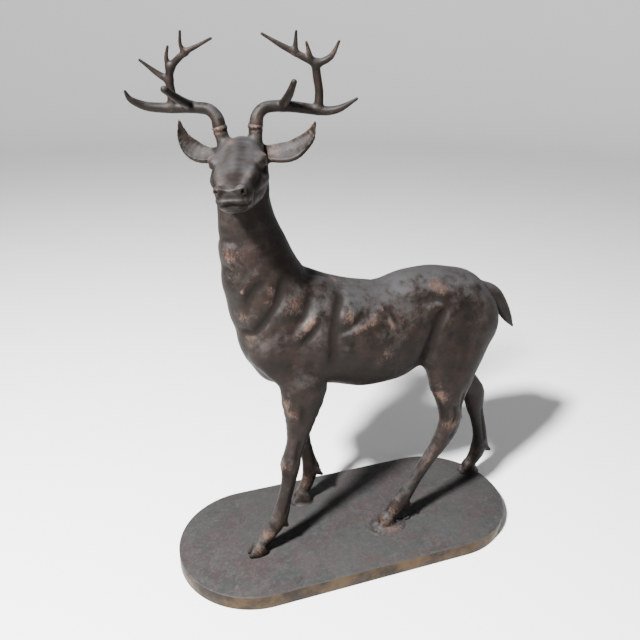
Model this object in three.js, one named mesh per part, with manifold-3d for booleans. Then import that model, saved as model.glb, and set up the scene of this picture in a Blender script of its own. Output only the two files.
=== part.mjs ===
// A cast bronze stag standing on a round-ended base plate, head turned to its left.
// Millimetres, +Z up, +X the way the stag walks, +Y its left side. The origin is the
// middle of the plate's underside.
import * as THREE from 'three';
import Module from 'manifold-3d';

// Driving sizes.
const figureHeight = 1592;      // hoof soles to the highest antler tip
const plateLength = 1200;
const plateWidth = 516;
const plateThickness = 52;
const plateEdge = 3;            // small chamfer round the plate
const gap = 0.3;                // clearance where two castings meet
const bodyCell = 14;            // facet sizes before the surface is thinned out
const headCell = 6;
const antlerCell = 5.5;
const bodyFaces = 6200;
const antlerFaces = 760;

// The figure is laid out in millimetres at a height of 1592 and scaled as one.
const share = figureHeight / 1592;
const midline = -15;            // the trunk's own middle plane, in Y

// Small vector helpers.
const sub = (a, b) => [a[0] - b[0], a[1] - b[1], a[2] - b[2]];
const dot = (a, b) => a[0] * b[0] + a[1] * b[1] + a[2] * b[2];
const cross = (a, b) => [a[1] * b[2] - a[2] * b[1], a[2] * b[0] - a[0] * b[2], a[0] * b[1] - a[1] * b[0]];
const scaled = (a, s) => [a[0] * s, a[1] * s, a[2] * s];
const plus = (...v) => v.reduce((s, a) => [s[0] + a[0], s[1] + a[1], s[2] + a[2]]);
const unit = (a) => scaled(a, 1 / Math.hypot(...a));
const mixed = (a, b, t) => a + (b - a) * t;

// A rounded bar with an oval section. The section is `wide` along the side axis and
// `deep` across it, each as [at a, at b].
function bar(a, b, wide, deep, side = [0, 1, 0], blend = 14) {
  const s = unit(side);
  const ab = sub(b, a);
  const len2 = Math.max(dot(ab, ab), 1e-6);
  return {
    blend,
    centre: scaled(plus(a, b), 0.5),
    reach: Math.sqrt(len2) / 2 + Math.max(...wide, ...deep),
    at(x, y, z) {
      const px = x - a[0], py = y - a[1], pz = z - a[2];
      const t = Math.min(1, Math.max(0, (px * ab[0] + py * ab[1] + pz * ab[2]) / len2));
      const qx = px - t * ab[0], qy = py - t * ab[1], qz = pz - t * ab[2];
      const w = mixed(wide[0], wide[1], t), d = mixed(deep[0], deep[1], t);
      const along = qx * s[0] + qy * s[1] + qz * s[2];
      const s2 = along * along;
      const r2 = Math.max(qx * qx + qy * qy + qz * qz - s2, 0);
      const k0 = Math.sqrt(s2 / (w * w) + r2 / (d * d));
      if (k0 < 1e-6) return -Math.min(w, d);
      return k0 * (k0 - 1) / Math.sqrt(s2 / w ** 4 + r2 / d ** 4);
    },
  };
}

// An egg with its three half sizes along three given axes.
function egg(centre, half, axes = [[1, 0, 0], [0, 1, 0], [0, 0, 1]], blend = 14) {
  return {
    blend,
    centre,
    reach: Math.max(...half),
    at(x, y, z) {
      const px = x - centre[0], py = y - centre[1], pz = z - centre[2];
      let a = 0, b = 0;
      for (let i = 0; i < 3; i++) {
        const u = axes[i], q = (px * u[0] + py * u[1] + pz * u[2]) / half[i], r = q / half[i];
        a += q * q;
        b += r * r;
      }
      const k0 = Math.sqrt(a);
      return k0 < 1e-6 ? -Math.min(...half) : k0 * (k0 - 1) / Math.sqrt(b);
    },
  };
}

// A soft ridge (height above 0) or groove (below 0) that follows a line of points.
function ridge(points, height, width) {
  const centre = scaled(plus(...points), 1 / points.length);
  const far = Math.max(...points.map((p) => Math.hypot(...sub(p, centre))));
  return {
    centre,
    reach: far + 2.4 * width,
    at(x, y, z) {
      let best = Infinity;
      for (let i = 0; i < Math.max(points.length - 1, 1); i++) {
        const a = points[i], ab = sub(points[Math.min(i + 1, points.length - 1)], a);
        const px = x - a[0], py = y - a[1], pz = z - a[2];
        const len2 = Math.max(dot(ab, ab), 1e-6);
        const t = Math.min(1, Math.max(0, (px * ab[0] + py * ab[1] + pz * ab[2]) / len2));
        best = Math.min(best, (px - t * ab[0]) ** 2 + (py - t * ab[1]) ** 2 + (pz - t * ab[2]) ** 2);
      }
      return height * Math.exp(-best / (width * width));
    },
  };
}

const meld = (a, b, k) => {
  const h = Math.max(k - Math.abs(a - b), 0) / k;
  return Math.min(a, b) - h * h * k * 0.25;
};

// A body is a list of masses melded in order, hollows taken away, then ridges.
function body(masses, hollows = [], ridges = []) {
  return { masses, hollows, ridges };
}

// A run of bars through stations [x, y, z, wide, deep].
function limb(stations, side, blend) {
  return stations.slice(1).map((b, i) => {
    const a = stations[i];
    return bar(a.slice(0, 3), b.slice(0, 3), [a[3], b[3]], [a[4], b[4]], side, blend);
  });
}

// Legs. Each leg is a line of joints; the thickness at every joint is shared by its pair.
const foreThickness = [[42, 72], [34, 47], [27, 30], [25, 27], [28, 30], [20, 23], [19, 20.5], [22, 25],
    [18.5, 21]];
const hindThickness = [[46, 84], [38, 56], [31, 42], [27, 37], [26, 36], [22, 28], [19, 23], [18, 22],
    [23, 26], [19, 21]];
const foreLeg = (joints) => limb(joints.map((j, i) => [...j, ...foreThickness[i]]), [0, 1, 0], 10);
const hindLeg = (joints, fuller = 0) => limb(joints.map((j, i) => [...j, hindThickness[i][0],
    hindThickness[i][1] + fuller]), [0, 1, 0], 10);

// A cloven hoof from the pastern down to the toe, with two small dewclaws behind.
function hoof(pastern, sole, yaw) {
  const ahead = [Math.cos(yaw), Math.sin(yaw), 0];
  const across = [-Math.sin(yaw), Math.cos(yaw), 0];
  const parts = [bar(pastern, plus(sole, [0, 0, 34]), [18, 21], [20, 25], across, 8)];
  for (const s of [-1, 1]) {
    const half = scaled(across, s * 10);
    parts.push(bar(plus(sole, half, [0, 0, 26]), plus(sole, half, scaled(ahead, 30), [0, 0, 4]),
      [13, 9], [25, 13], across, 5));
    parts.push(bar(plus(sole, half, scaled(ahead, -8), [0, 0, 10]),
        plus(sole, half, scaled(ahead, 14), [0, 0, -4]),
      [14, 13], [20, 16], across, 5));
  }
  return parts;
}

// How deep and how wide the carving below is cut.
const carvingDepth = 0.66, carvingWidth = 1.2;

// Carving of the flanks: [points on the left side, height over the skin, width].
const flank = [
  // The shoulder blade's two muscle bands, the grooves beside them and the triceps.
  [[[190, 60, 927], [217, 78, 897], [250, 87, 865], [290, 84, 832]], 11, 17],
  [[[150, 87, 852], [170, 91, 828], [193, 97, 802], [223, 96, 784], [243, 93, 779]], 13, 11],
  [[[163, 60, 908], [180, 74, 879], [195, 83, 847], [221, 89, 815]], -10, 11],
  [[[144, 96, 836], [172, 106, 803], [196, 107, 775], [213, 104, 751]], -14, 12],
  [[[68, 47, 899], [94, 86, 848], [110, 101, 798], [115, 107, 737], [114, 98, 679]], -16, 15],
  [[[148, 110, 765], [134, 104, 700]], 9, 20],
  [[[186, 104, 716], [178, 100, 668]], -7, 14],
  // Ribs, the bulge behind the shoulder and the hollow under it.
  [[[64, 99, 836], [56, 102, 822]], 12, 24],
  [[[94, 108, 806], [82, 112, 794], [60, 114, 797], [30, 102, 818], [16, 88, 841]], -12, 10],
  [[[93, 111, 768], [57, 117, 785], [24, 112, 794], [-18, 103, 810], [-32, 91, 826]], 11, 12],
  [[[-34, 74, 850], [-55, 82, 836], [-69, 98, 808], [-93, 110, 766]], 10, 10],
  [[[-76, 84, 836], [-86, 92, 814], [-104, 104, 778]], -9, 9],
  [[[-98, 78, 834], [-110, 90, 812], [-124, 104, 774]], 8, 9],
  [[[-124, 84, 822], [-138, 98, 790]], -5, 10],
  [[[-128, 90, 806], [-150, 104, 766]], 5, 11],
  [[[65, 116, 750], [38, 119, 742]], -8, 12],
  [[[82, 110, 728], [62, 116, 716]], 4, 14],
  // The loin's edge, the fold of the flank and the hollow under it.
  [[[-111, 58, 862], [-170, 62, 875], [-234, 63, 881], [-273, 69, 875]], 7, 18],
  [[[-136, 76, 846], [-179, 81, 847], [-218, 85, 847], [-281, 85, 850], [-324, 85, 848]], -12, 11],
  [[[-196, 94, 808], [-219, 94, 824], [-266, 95, 826]], 12, 10],
  [[[-226, 94, 792], [-214, 96, 764]], -8, 15],
  // The groove in front of the thigh, the hip's ridge and the thigh's own muscles.
  [[[-262, 97, 822], [-247, 95, 786], [-235, 99, 755], [-220, 90, 694], [-211, 73, 634]], -20, 14],
  [[[-317, 93, 828], [-295, 99, 808], [-277, 97, 783], [-258, 105, 748], [-242, 99, 691]], 10, 16],
  [[[-352, 93, 816], [-343, 101, 775], [-323, 104, 745]], -8, 16],
  [[[-310, 102, 741], [-270, 105, 719]], -7, 9],
  [[[-350, 104, 700], [-338, 106, 640], [-318, 106, 580]], -5, 15],
  [[[-400, 98, 780], [-412, 98, 700], [-390, 100, 620]], 5, 20],
];

// Carving of the neck and throat, on the left and in the middle.
const neck = [
  [[[401, 31, 1038]], 13, 22],
  [[[408, -4, 1066], [392, 36, 1074], [372, 52, 1082]], -9, 10],
  [[[408, -8, 988], [394, 34, 990], [376, 50, 996]], -7, 12],
  [[[380, 50, 1042], [372, 55, 1016], [352, 64, 1000]], -6, 7],
  [[[320, 74, 992], [348, 65, 965], [364, 58, 944], [372, 52, 905]], 12, 10],
  [[[300, 80, 968], [334, 72, 938], [352, 62, 905], [352, 60, 880]], -13, 12],
  [[[300, 84, 930], [318, 76, 880]], 6, 18],
  [[[240, 66, 972], [254, 75, 952], [276, 84, 892], [302, 81, 851], [334, 57, 795], [368, 20, 800]],
  -14, 12],
  [[[350, 33, 768], [319, 68, 796], [288, 84, 823]], 9, 10],
  [[[372, -14, 760], [352, -14, 690]], -8, 13],
  [[[348, 26, 740], [322, 34, 680]], 6, 20],
];

function buildFigure() {
  const masses = [], hollows = [], ridges = [];

  // Trunk, from the croup to the root of the neck: [x, z, half depth, half width].
  const trunk = [[-335, 752, 152, 108], [-258, 756, 155, 113], [-185, 752, 153, 108], [-110, 715, 165, 114],
    [-35, 714, 165, 124], [40, 734, 159, 126], [110, 751, 166, 120], [170, 757, 166, 110],
        [230, 764, 141, 98]];
  masses.push(...limb(trunk.map(([x, z, deep, wide]) => [x, midline, z, wide, deep]), [0, 1, 0], 30));
  masses.push(bar([150, midline, 650], [252, midline, 658], [60, 52], [64, 61], [0, 1, 0], 30));

  // Neck: [x, y, z, half width, half depth].
  masses.push(...limb([[228, -15, 800, 98, 130], [262, -15, 870, 96, 128], [294, -14, 950, 87, 110],
    [313, -13, 1028, 77, 93], [329, -12, 1100, 67, 76], [337, -12, 1160, 61, 67], [338, -10, 1225, 60, 66]],
        [0, 1, 0], 24));

  // Tail.
  masses.push(...limb([[-452, -15, 820, 30, 27], [-484, -15, 811, 28, 26], [-516, -15, 789, 25, 24],
    [-549, -15, 742, 22, 23], [-578, -15, 698, 15, 16], [-603, -15, 662, 6, 6]], [0, 1, 0], 6));

  // Shoulder blades, upper arms and thighs, left and right.
  for (const s of [-1, 1]) {
    const y = (out) => midline + s * out;
    masses.push(bar([140, y(48), 890], [270, y(64), 740], [26, 42], [52, 62], [0, 1, 0], 22));
    masses.push(bar([296, y(62), 726], [200, y(78), 625], [38, 40], [50, 56], [0, 1, 0], 22));
    masses.push(bar([150, y(58), 770], [176, y(72), 650], [40, 42], [62, 62], [0, 1, 0], 26));
  }
  masses.push(bar([-345, 42, 760], [-333, 56, 640], [52, 52], [118, 112], [0, 1, 0], 26));
  masses.push(bar([-333, 56, 640], [-325, 68, 560], [52, 44], [108, 80], [0, 1, 0], 22));
  for (const s of [-1, 1]) masses.push(egg([-404, midline + s * 42, 708], [90, 58, 112], undefined, 26));
  masses.push(bar([-350, -72, 760], [-365, -90, 610], [52, 44], [116, 88], [0, 1, 0], 26));
  masses.push(bar([-365, -90, 610], [-440, -98, 520], [44, 36], [84, 56], [0, 1, 0], 20));

  // Legs, joint by joint from the elbow or stifle to the pastern.
  masses.push(...foreLeg([[192, 74, 600], [203, 76, 502], [216, 76, 425], [229, 76, 376], [237, 75, 336],
    [241, 74, 284], [257, 73, 205], [280, 72, 122], [312, 71, 70]]));
  masses.push(...foreLeg([[160, -92, 600], [140, -104, 520], [140, -114, 440], [140, -118, 385],
      [136, -121, 345],
    [130, -124, 292], [114, -127, 214], [102, -130, 134], [112, -134, 80]]));
  masses.push(...hindLeg([[-325, 66, 570], [-321, 78, 500], [-323, 82, 450], [-327, 84, 402], [-320, 85, 362],
    [-292, 85, 305], [-262, 85, 258], [-208, 85, 172], [-160, 85, 96], [-132, 84, 56]]));
  masses.push(...hindLeg([[-400, -94, 570], [-438, -97, 490], [-484, -99, 430], [-529, -100, 376],
      [-542, -100, 340],
    [-550, -100, 296], [-566, -101, 250], [-588, -101, 165], [-588, -102, 92], [-572, -102, 55]], 3));
  masses.push(...hoof([312, 71, 70], [350, 70, 0], 0.05));
  masses.push(...hoof([114, -134, 80], [128, -139, 0], -0.1));
  masses.push(...hoof([-132, 84, 56], [-110, 83, 0], 0.1));
  masses.push(...hoof([-572, -102, 55], [-556, -102, 0], 0));
  // Fins of tendon that run down to the dewclaws.
  for (const fin of [
    [[108, -128, 236, 12, 9], [97, -129, 190, 12, 12], [84, -130, 148, 11, 13], [75, -130, 132, 9, 8]],
    [[-584, -101, 240, 12, 12], [-600, -102, 170, 12, 16], [-612, -102, 115, 11, 17], [-626, -102, 90, 8, 7]],
    [[250, 72, 196, 11, 9], [256, 72, 152, 11, 13], [259, 72, 120, 9, 8]]]) {
    masses.push(...limb(fin, [0, 1, 0], 6));
  }
  // Points of the hocks and the dewclaws.
  masses.push(bar([-346, 85, 412], [-366, 85, 398], [15, 8], [20, 8], [0, 1, 0], 10));
  masses.push(bar([-552, -100, 376], [-570, -100, 358], [16, 9], [20, 10], [0, 1, 0], 10));
  for (const [x, y, z, dx, dz] of [[268, 72, 128, -14, -26], [88, -130, 142, -28, -18],
      [-178, 85, 92, -18, -18],
    [-608, -102, 112, -28, -24]]) {
    for (const s of [-1, 1]) masses.push(bar([x, y + s * 9, z], [x + dx, y + s * 11, z + dz], [10, 6],
        [12, 6.5], [0, 1, 0], 8));
  }

  // Muscle, ribs and skin folds, mirrored to the far side where they aren't on the midline.
  for (const [points, height, width] of [...flank, ...neck]) {
    ridges.push(ridge(points, height * carvingDepth, width * carvingWidth));
    if (Math.max(...points.map(([, y]) => y)) < midline + 20) continue;
    ridges.push(ridge(points.map(([x, y, z]) => [x, 2 * midline - y, z]), height * carvingDepth,
        width * carvingWidth));
  }
  return { masses, hollows, ridges };
}

// The head has its own axes: ahead along the muzzle, out to its left, and up.
const headTurn = 70, headDrop = -5, headTilt = 4;
const headCentre = [338, -10, 1278];
const rad = (degrees) => degrees * Math.PI / 180;
const ahead = [Math.cos(rad(headDrop)) * Math.cos(rad(headTurn)),
    Math.cos(rad(headDrop)) * Math.sin(rad(headTurn)), Math.sin(rad(headDrop))];
const level = [-Math.sin(rad(headTurn)), Math.cos(rad(headTurn)), 0];
const upright = cross(ahead, level);
const out = plus(scaled(level, Math.cos(rad(headTilt))), scaled(upright, Math.sin(rad(headTilt))));
const up = plus(scaled(upright, Math.cos(rad(headTilt))), scaled(level, -Math.sin(rad(headTilt))));
const inHead = (f, l, t) => plus(headCentre, scaled(ahead, f), scaled(out, l), scaled(up, t));
const turned = (f, l, t) => plus(scaled(ahead, f), scaled(out, l), scaled(up, t));
const headLimb = (stations, blend) => limb(stations.map(([f, l, t, wide, deep]) => [...inHead(f, l, t),
    wide, deep]), out, blend);

const ears = [
  [[-4, 56, 11, 22], [-4, 84, 13, 27], [-4, 108, 14, 32], [-4, 132, 17, 32], [-5, 156, 31, 27],
      [-7, 181, 51, 18],
    [-9, 200, 84, 5]],
  [[-4, -60, 17, 22], [-7, -88, 18, 24], [-8, -111, 24, 28], [-8, -131, 41, 26], [-9, -146, 66, 18],
    [-10, -152, 92, 10], [-11, -152, 112, 5]],
];

function buildHead(figure) {
  const { masses, hollows, ridges } = figure;
  // Skull, face and jaw: [ahead, left, up, half width, half depth].
  masses.push(...headLimb([[-20, 0, -9, 60, 68], [30, 0, -4, 67, 65], [78, 0, -8, 68, 54],
      [130, 0, -19, 59, 44],
    [190, 0, -25, 46, 32], [228, 0, -25, 37, 27]], 18));
  masses.push(...headLimb([[10, 0, -62, 52, 46], [90, 0, -60, 54, 38], [165, 0, -55, 44, 28],
      [218, 0, -51, 36, 18]], 12));
  for (const s of [-1, 1]) {
    const q = (f, l, t) => inHead(f, s * l, t);
    masses.push(egg(inHead(66, s * 43 - 4, -34), [56, 31, 40], [ahead, out, up], 18));
    masses.push(egg(q(74, 58, 18), [26, 16, 17], [ahead, out, up], 14));
    masses.push(egg(q(86, 60, 8), [15, 10, 10], [ahead, out, up], 5));
    masses.push(bar(q(-2, 40, 36), inHead(-12, s * 48 - 3, 90), [19, 17], [19, 17], ahead, 16));
    masses.push(bar(inHead(-11, s * 47 - 3, 80), inHead(-13, s * 48 - 3, 91), [19, 18.5], [19, 18.5], ahead,
        5));
    masses.push(egg(q(226, 20, -34), [26, 20, 14], [ahead, out, up], 10));
    masses.push(egg(inHead(238, s * 27 - 2, -6), [16, 12, 12], [ahead, out, up], 8));
    // Nostril, nose rim, mouth, brow, the eye's socket and the jaw's edge.
    ridges.push(ridge([inHead(254, s * 31 - 2, -6)], -8, 7));
    ridges.push(ridge([q(262, 0, 8), q(258, 15, 6), q(250, 29, 2)], 4, 5));
    ridges.push(ridge([q(258, 0, -37), q(252, 21, -39), q(232, 40, -45), q(205, 48, -50)], -7, 5));
    ridges.push(ridge([q(100, 54, 22), q(80, 68, 28), q(58, 66, 26)], 4, 10));
    ridges.push(ridge([q(112, 50, 0), q(96, 62, -5), q(66, 70, 0)], -6, 11));
    ridges.push(ridge([q(116, 50, -6), q(138, 48, -14), q(158, 46, -20)], -4, 8));
    ridges.push(ridge([q(20, 62, -96), q(-8, 66, -60), q(-16, 66, -20)], 6, 10));
  }
  // Ears: leaves hollowed from above and in front: [ahead, out, up, half width].
  const face = turned(0.74, 0, 0.67);
  for (const leaf of ears) {
    const thick = (w) => (w > 10 ? 13 : 8);
    masses.push(bar(inHead(-4, leaf[0][1] * 0.7, 16), inHead(-3, leaf[1][1], 19), [20, 16], [20, 18], up,
        14));
    masses.push(...limb(leaf.map(([f, l, t, w]) => [...inHead(f, l, t), thick(w), w]), face, 4));
    const inside = leaf.slice(1, -1).map(([f, l, t, w]) => [...plus(inHead(f, l, t), scaled(face, 17)), 14,
        Math.max(w - 6, 2)]);
    hollows.push(...limb(inside, face, 4));
  }
}

// Antlers, each tine as points [ahead, left, up, radius] in the head's axes.
const antlers = {
  right: [
    [[-12, -49, 74, 16], [-13, -51, 92, 16.5], [-18, -55, 112, 15], [-26, -73, 131, 14],
        [-34, -100, 136, 13.5], [-40, -133, 138, 13],
      [-42, -181, 139, 12], [-36, -231, 146, 10.5], [-28, -258, 158, 8.5], [-20, -274, 172, 6],
          [-13, -280, 191, 3.5]],
    [[-40, -123, 142, 11], [10, -137, 165, 9.5], [75, -157, 203, 7.5]],
    [[-42, -172, 142, 11], [-44, -169, 177, 9.5], [-42, -169, 207, 9], [-36, -159, 239, 8]],
    [[-42, -169, 208, 8], [-40, -192, 223, 6.5], [-29, -233, 262, 3]],
    [[-37, -163, 234, 7], [-32, -165, 263, 5], [-27, -156, 289, 3]],
    [[-36, -159, 239, 8], [-32, -138, 257, 7], [-26, -111, 275, 6], [-20, -85, 285, 5], [-8, -42, 303, 3]],
    [[-27, -115, 272, 6], [-20, -122, 292, 4.2], [-15, -117, 323, 2.8]],
  ],
  left: [
    [[-12, 46, 78, 16], [-13, 47, 94, 16.5], [-18, 53, 113, 15], [-26, 70, 127, 14], [-34, 96, 129, 13.5],
        [-40, 134, 125, 13],
      [-42, 173, 118, 12.5], [-42, 207, 111, 11.5], [-38, 238, 108, 10], [-30, 270, 115, 7.5],
          [-16, 311, 138, 3.5]],
    [[-38, 117, 128, 11], [5, 140, 162, 9], [45, 157, 197, 6]],
    [[-42, 210, 114, 11], [-44, 215, 155, 9.5], [-42, 212, 192, 9.5], [-36, 210, 229, 9]],
    [[-36, 210, 227, 8.5], [-32, 194, 236, 7.5], [-26, 163, 255, 7], [-18, 130, 275, 5.5], [-7, 84, 306, 3]],
    [[-26, 161, 258, 6], [-17, 168, 306, 2.8]],
    [[-31, 198, 241, 6], [-22, 191, 279, 3]],
    [[-34, 214, 225, 8], [-30, 250, 241, 6], [-20, 272, 276, 3]],
  ],
};

function buildAntler(tines) {
  return body(tines.flatMap((tine) => limb(tine.map(([f, l, t, r]) => [...inHead(f, l, t), r + 1, r + 1]),
      [0, 1, 0], 7)));
}

// Evenly or unevenly spaced grid lines: the step is `fine` inside [from, to].
function lines(low, high, step, fine, from, to) {
  const list = [low];
  while (list[list.length - 1] < high) {
    const last = list[list.length - 1];
    list.push(last + (fine && last + 0.1 >= from && last < to ? fine : step));
  }
  return Float64Array.from(list);
}

// The parts of a field that can matter within `slack` of a point, and their joint value.
function nearby(field, c, slack) {
  const close = (list, room) => list.filter((m) => {
    const x = m.centre[0] - c[0], y = m.centre[1] - c[1], z = m.centre[2] - c[2];
    const far = m.reach + room + (m.blend || 0);
    return x * x + y * y + z * z < far * far;
  });
  return { masses: close(field.masses, slack + 14), hollows: close(field.hollows, slack + 5),
      ridges: close(field.ridges, slack) };
}

function valueOf({ masses, hollows, ridges }, x, y, z) {
  let d = 1e3;
  for (const q of masses) d = meld(d, q.at(x, y, z), q.blend);
  for (const q of hollows) d = -meld(-d, q.at(x, y, z), q.blend);
  for (const q of ridges) d -= q.at(x, y, z);
  return d;
}

// The field on a grid, in blocks. A block that lies well clear of the skin on either
// side gets one value for all of it.
function fill(field, xs, ys, zs) {
  const nx = xs.length, ny = ys.length, nz = zs.length;
  const grid = new Float32Array(nx * ny * nz).fill(50);
  const block = 4;
  for (let i = 0; i < nx; i += block) for (let j = 0; j < ny; j += block) for (let k = 0; k < nz; k += block) {
    const i1 = Math.min(i + block, nx), j1 = Math.min(j + block, ny), k1 = Math.min(k + block, nz);
    const low = [xs[i], ys[j], zs[k]], high = [xs[i1 - 1], ys[j1 - 1], zs[k1 - 1]];
    const c = scaled(plus(low, high), 0.5), size = Math.hypot(...sub(high, low)) / 2;
    const near = nearby(field, c, size);
    if (!near.masses.length) continue;
    const middle = valueOf(near, ...c);
    const clear = Math.abs(middle) > size * 1.6 + 14;
    if (clear && middle > 0) continue;
    for (let a = i; a < i1; a++) for (let b = j; b < j1; b++) for (let e = k; e < k1; e++) {
      const d = clear ? -50 : valueOf(near, xs[a], ys[b], zs[e]);
      grid[(a * ny + b) * nz + e] = Math.abs(d) < 1e-4 ? 1e-4 : d;
    }
  }
  return grid;
}

// Skin of the field: every grid cell is split into six four-cornered pieces that share
// the long diagonal, so neighbouring cells always agree and the skin is closed.
function skin(field, xs, ys, zs) {
  const ny = ys.length, nz = zs.length;
  const grid = fill(field, xs, ys, zs);
  const step = [0, ny * nz, nz, ny * nz + nz, 1, ny * nz + 1, nz + 1, ny * nz + nz + 1];
  const pieces = [[1, 2], [2, 4], [4, 1], [2, 1], [4, 2], [1, 4]].map(([a, b], i) =>
    (i < 3 ? [0, a, a | b, 7] : [0, a | b, a, 7]));
  const points = [], faces = [], known = new Map();
  const place = (n) => [xs[Math.floor(n / (ny * nz))], ys[Math.floor(n / nz) % ny], zs[n % nz]];
  const crossing = (base, a, b) => {
    if (a > b) [a, b] = [b, a];
    const n = base + step[a], key = n * 8 + (a ^ b);
    let id = known.get(key);
    if (id === undefined) {
      const m = base + step[b], va = grid[n], vb = grid[m];
      const t = Math.min(0.96, Math.max(0.04, va / (va - vb)));
      const p = place(n), q = place(m);
      id = points.length;
      points.push([mixed(p[0], q[0], t), mixed(p[1], q[1], t), mixed(p[2], q[2], t)]);
      known.set(key, id);
    }
    return id;
  };
  const even = { 0: [0, 1, 2, 3], 1: [1, 0, 3, 2], 2: [2, 3, 0, 1], 3: [3, 2, 1, 0] };
  const pair = { '01': [0, 1, 2, 3], '02': [0, 2, 3, 1], '03': [0, 3, 1, 2], '12': [1, 2, 0, 3],
      '13': [1, 3, 2, 0], '23': [2, 3, 0, 1] };
  for (let i = 0; i < xs.length - 1; i++) for (let j = 0; j < ny - 1; j++) for (let k = 0; k < nz - 1; k++) {
    const base = (i * ny + j) * nz + k;
    let inside = 0;
    for (let c = 0; c < 8; c++) if (grid[base + step[c]] < 0) inside++;
    if (inside === 0 || inside === 8) continue;
    for (const piece of pieces) {
      const where = [];
      for (let v = 0; v < 4; v++) if (grid[base + step[piece[v]]] < 0) where.push(v);
      const cut = (a, b) => crossing(base, piece[a], piece[b]);
      if (where.length === 1) {
        const [a, b, c, d] = even[where[0]];
        faces.push([cut(a, b), cut(a, c), cut(a, d)]);
      } else if (where.length === 3) {
        const [a, b, c, d] = even[[0, 1, 2, 3].find((v) => !where.includes(v))];
        faces.push([cut(a, b), cut(a, d), cut(a, c)]);
      } else if (where.length === 2) {
        const [a, b, c, d] = pair[where.join('')];
        const q = [cut(a, c), cut(a, d), cut(b, d), cut(b, c)];
        faces.push([q[0], q[1], q[2]], [q[0], q[2], q[3]]);
      }
    }
  }
  return { points, faces };
}

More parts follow.
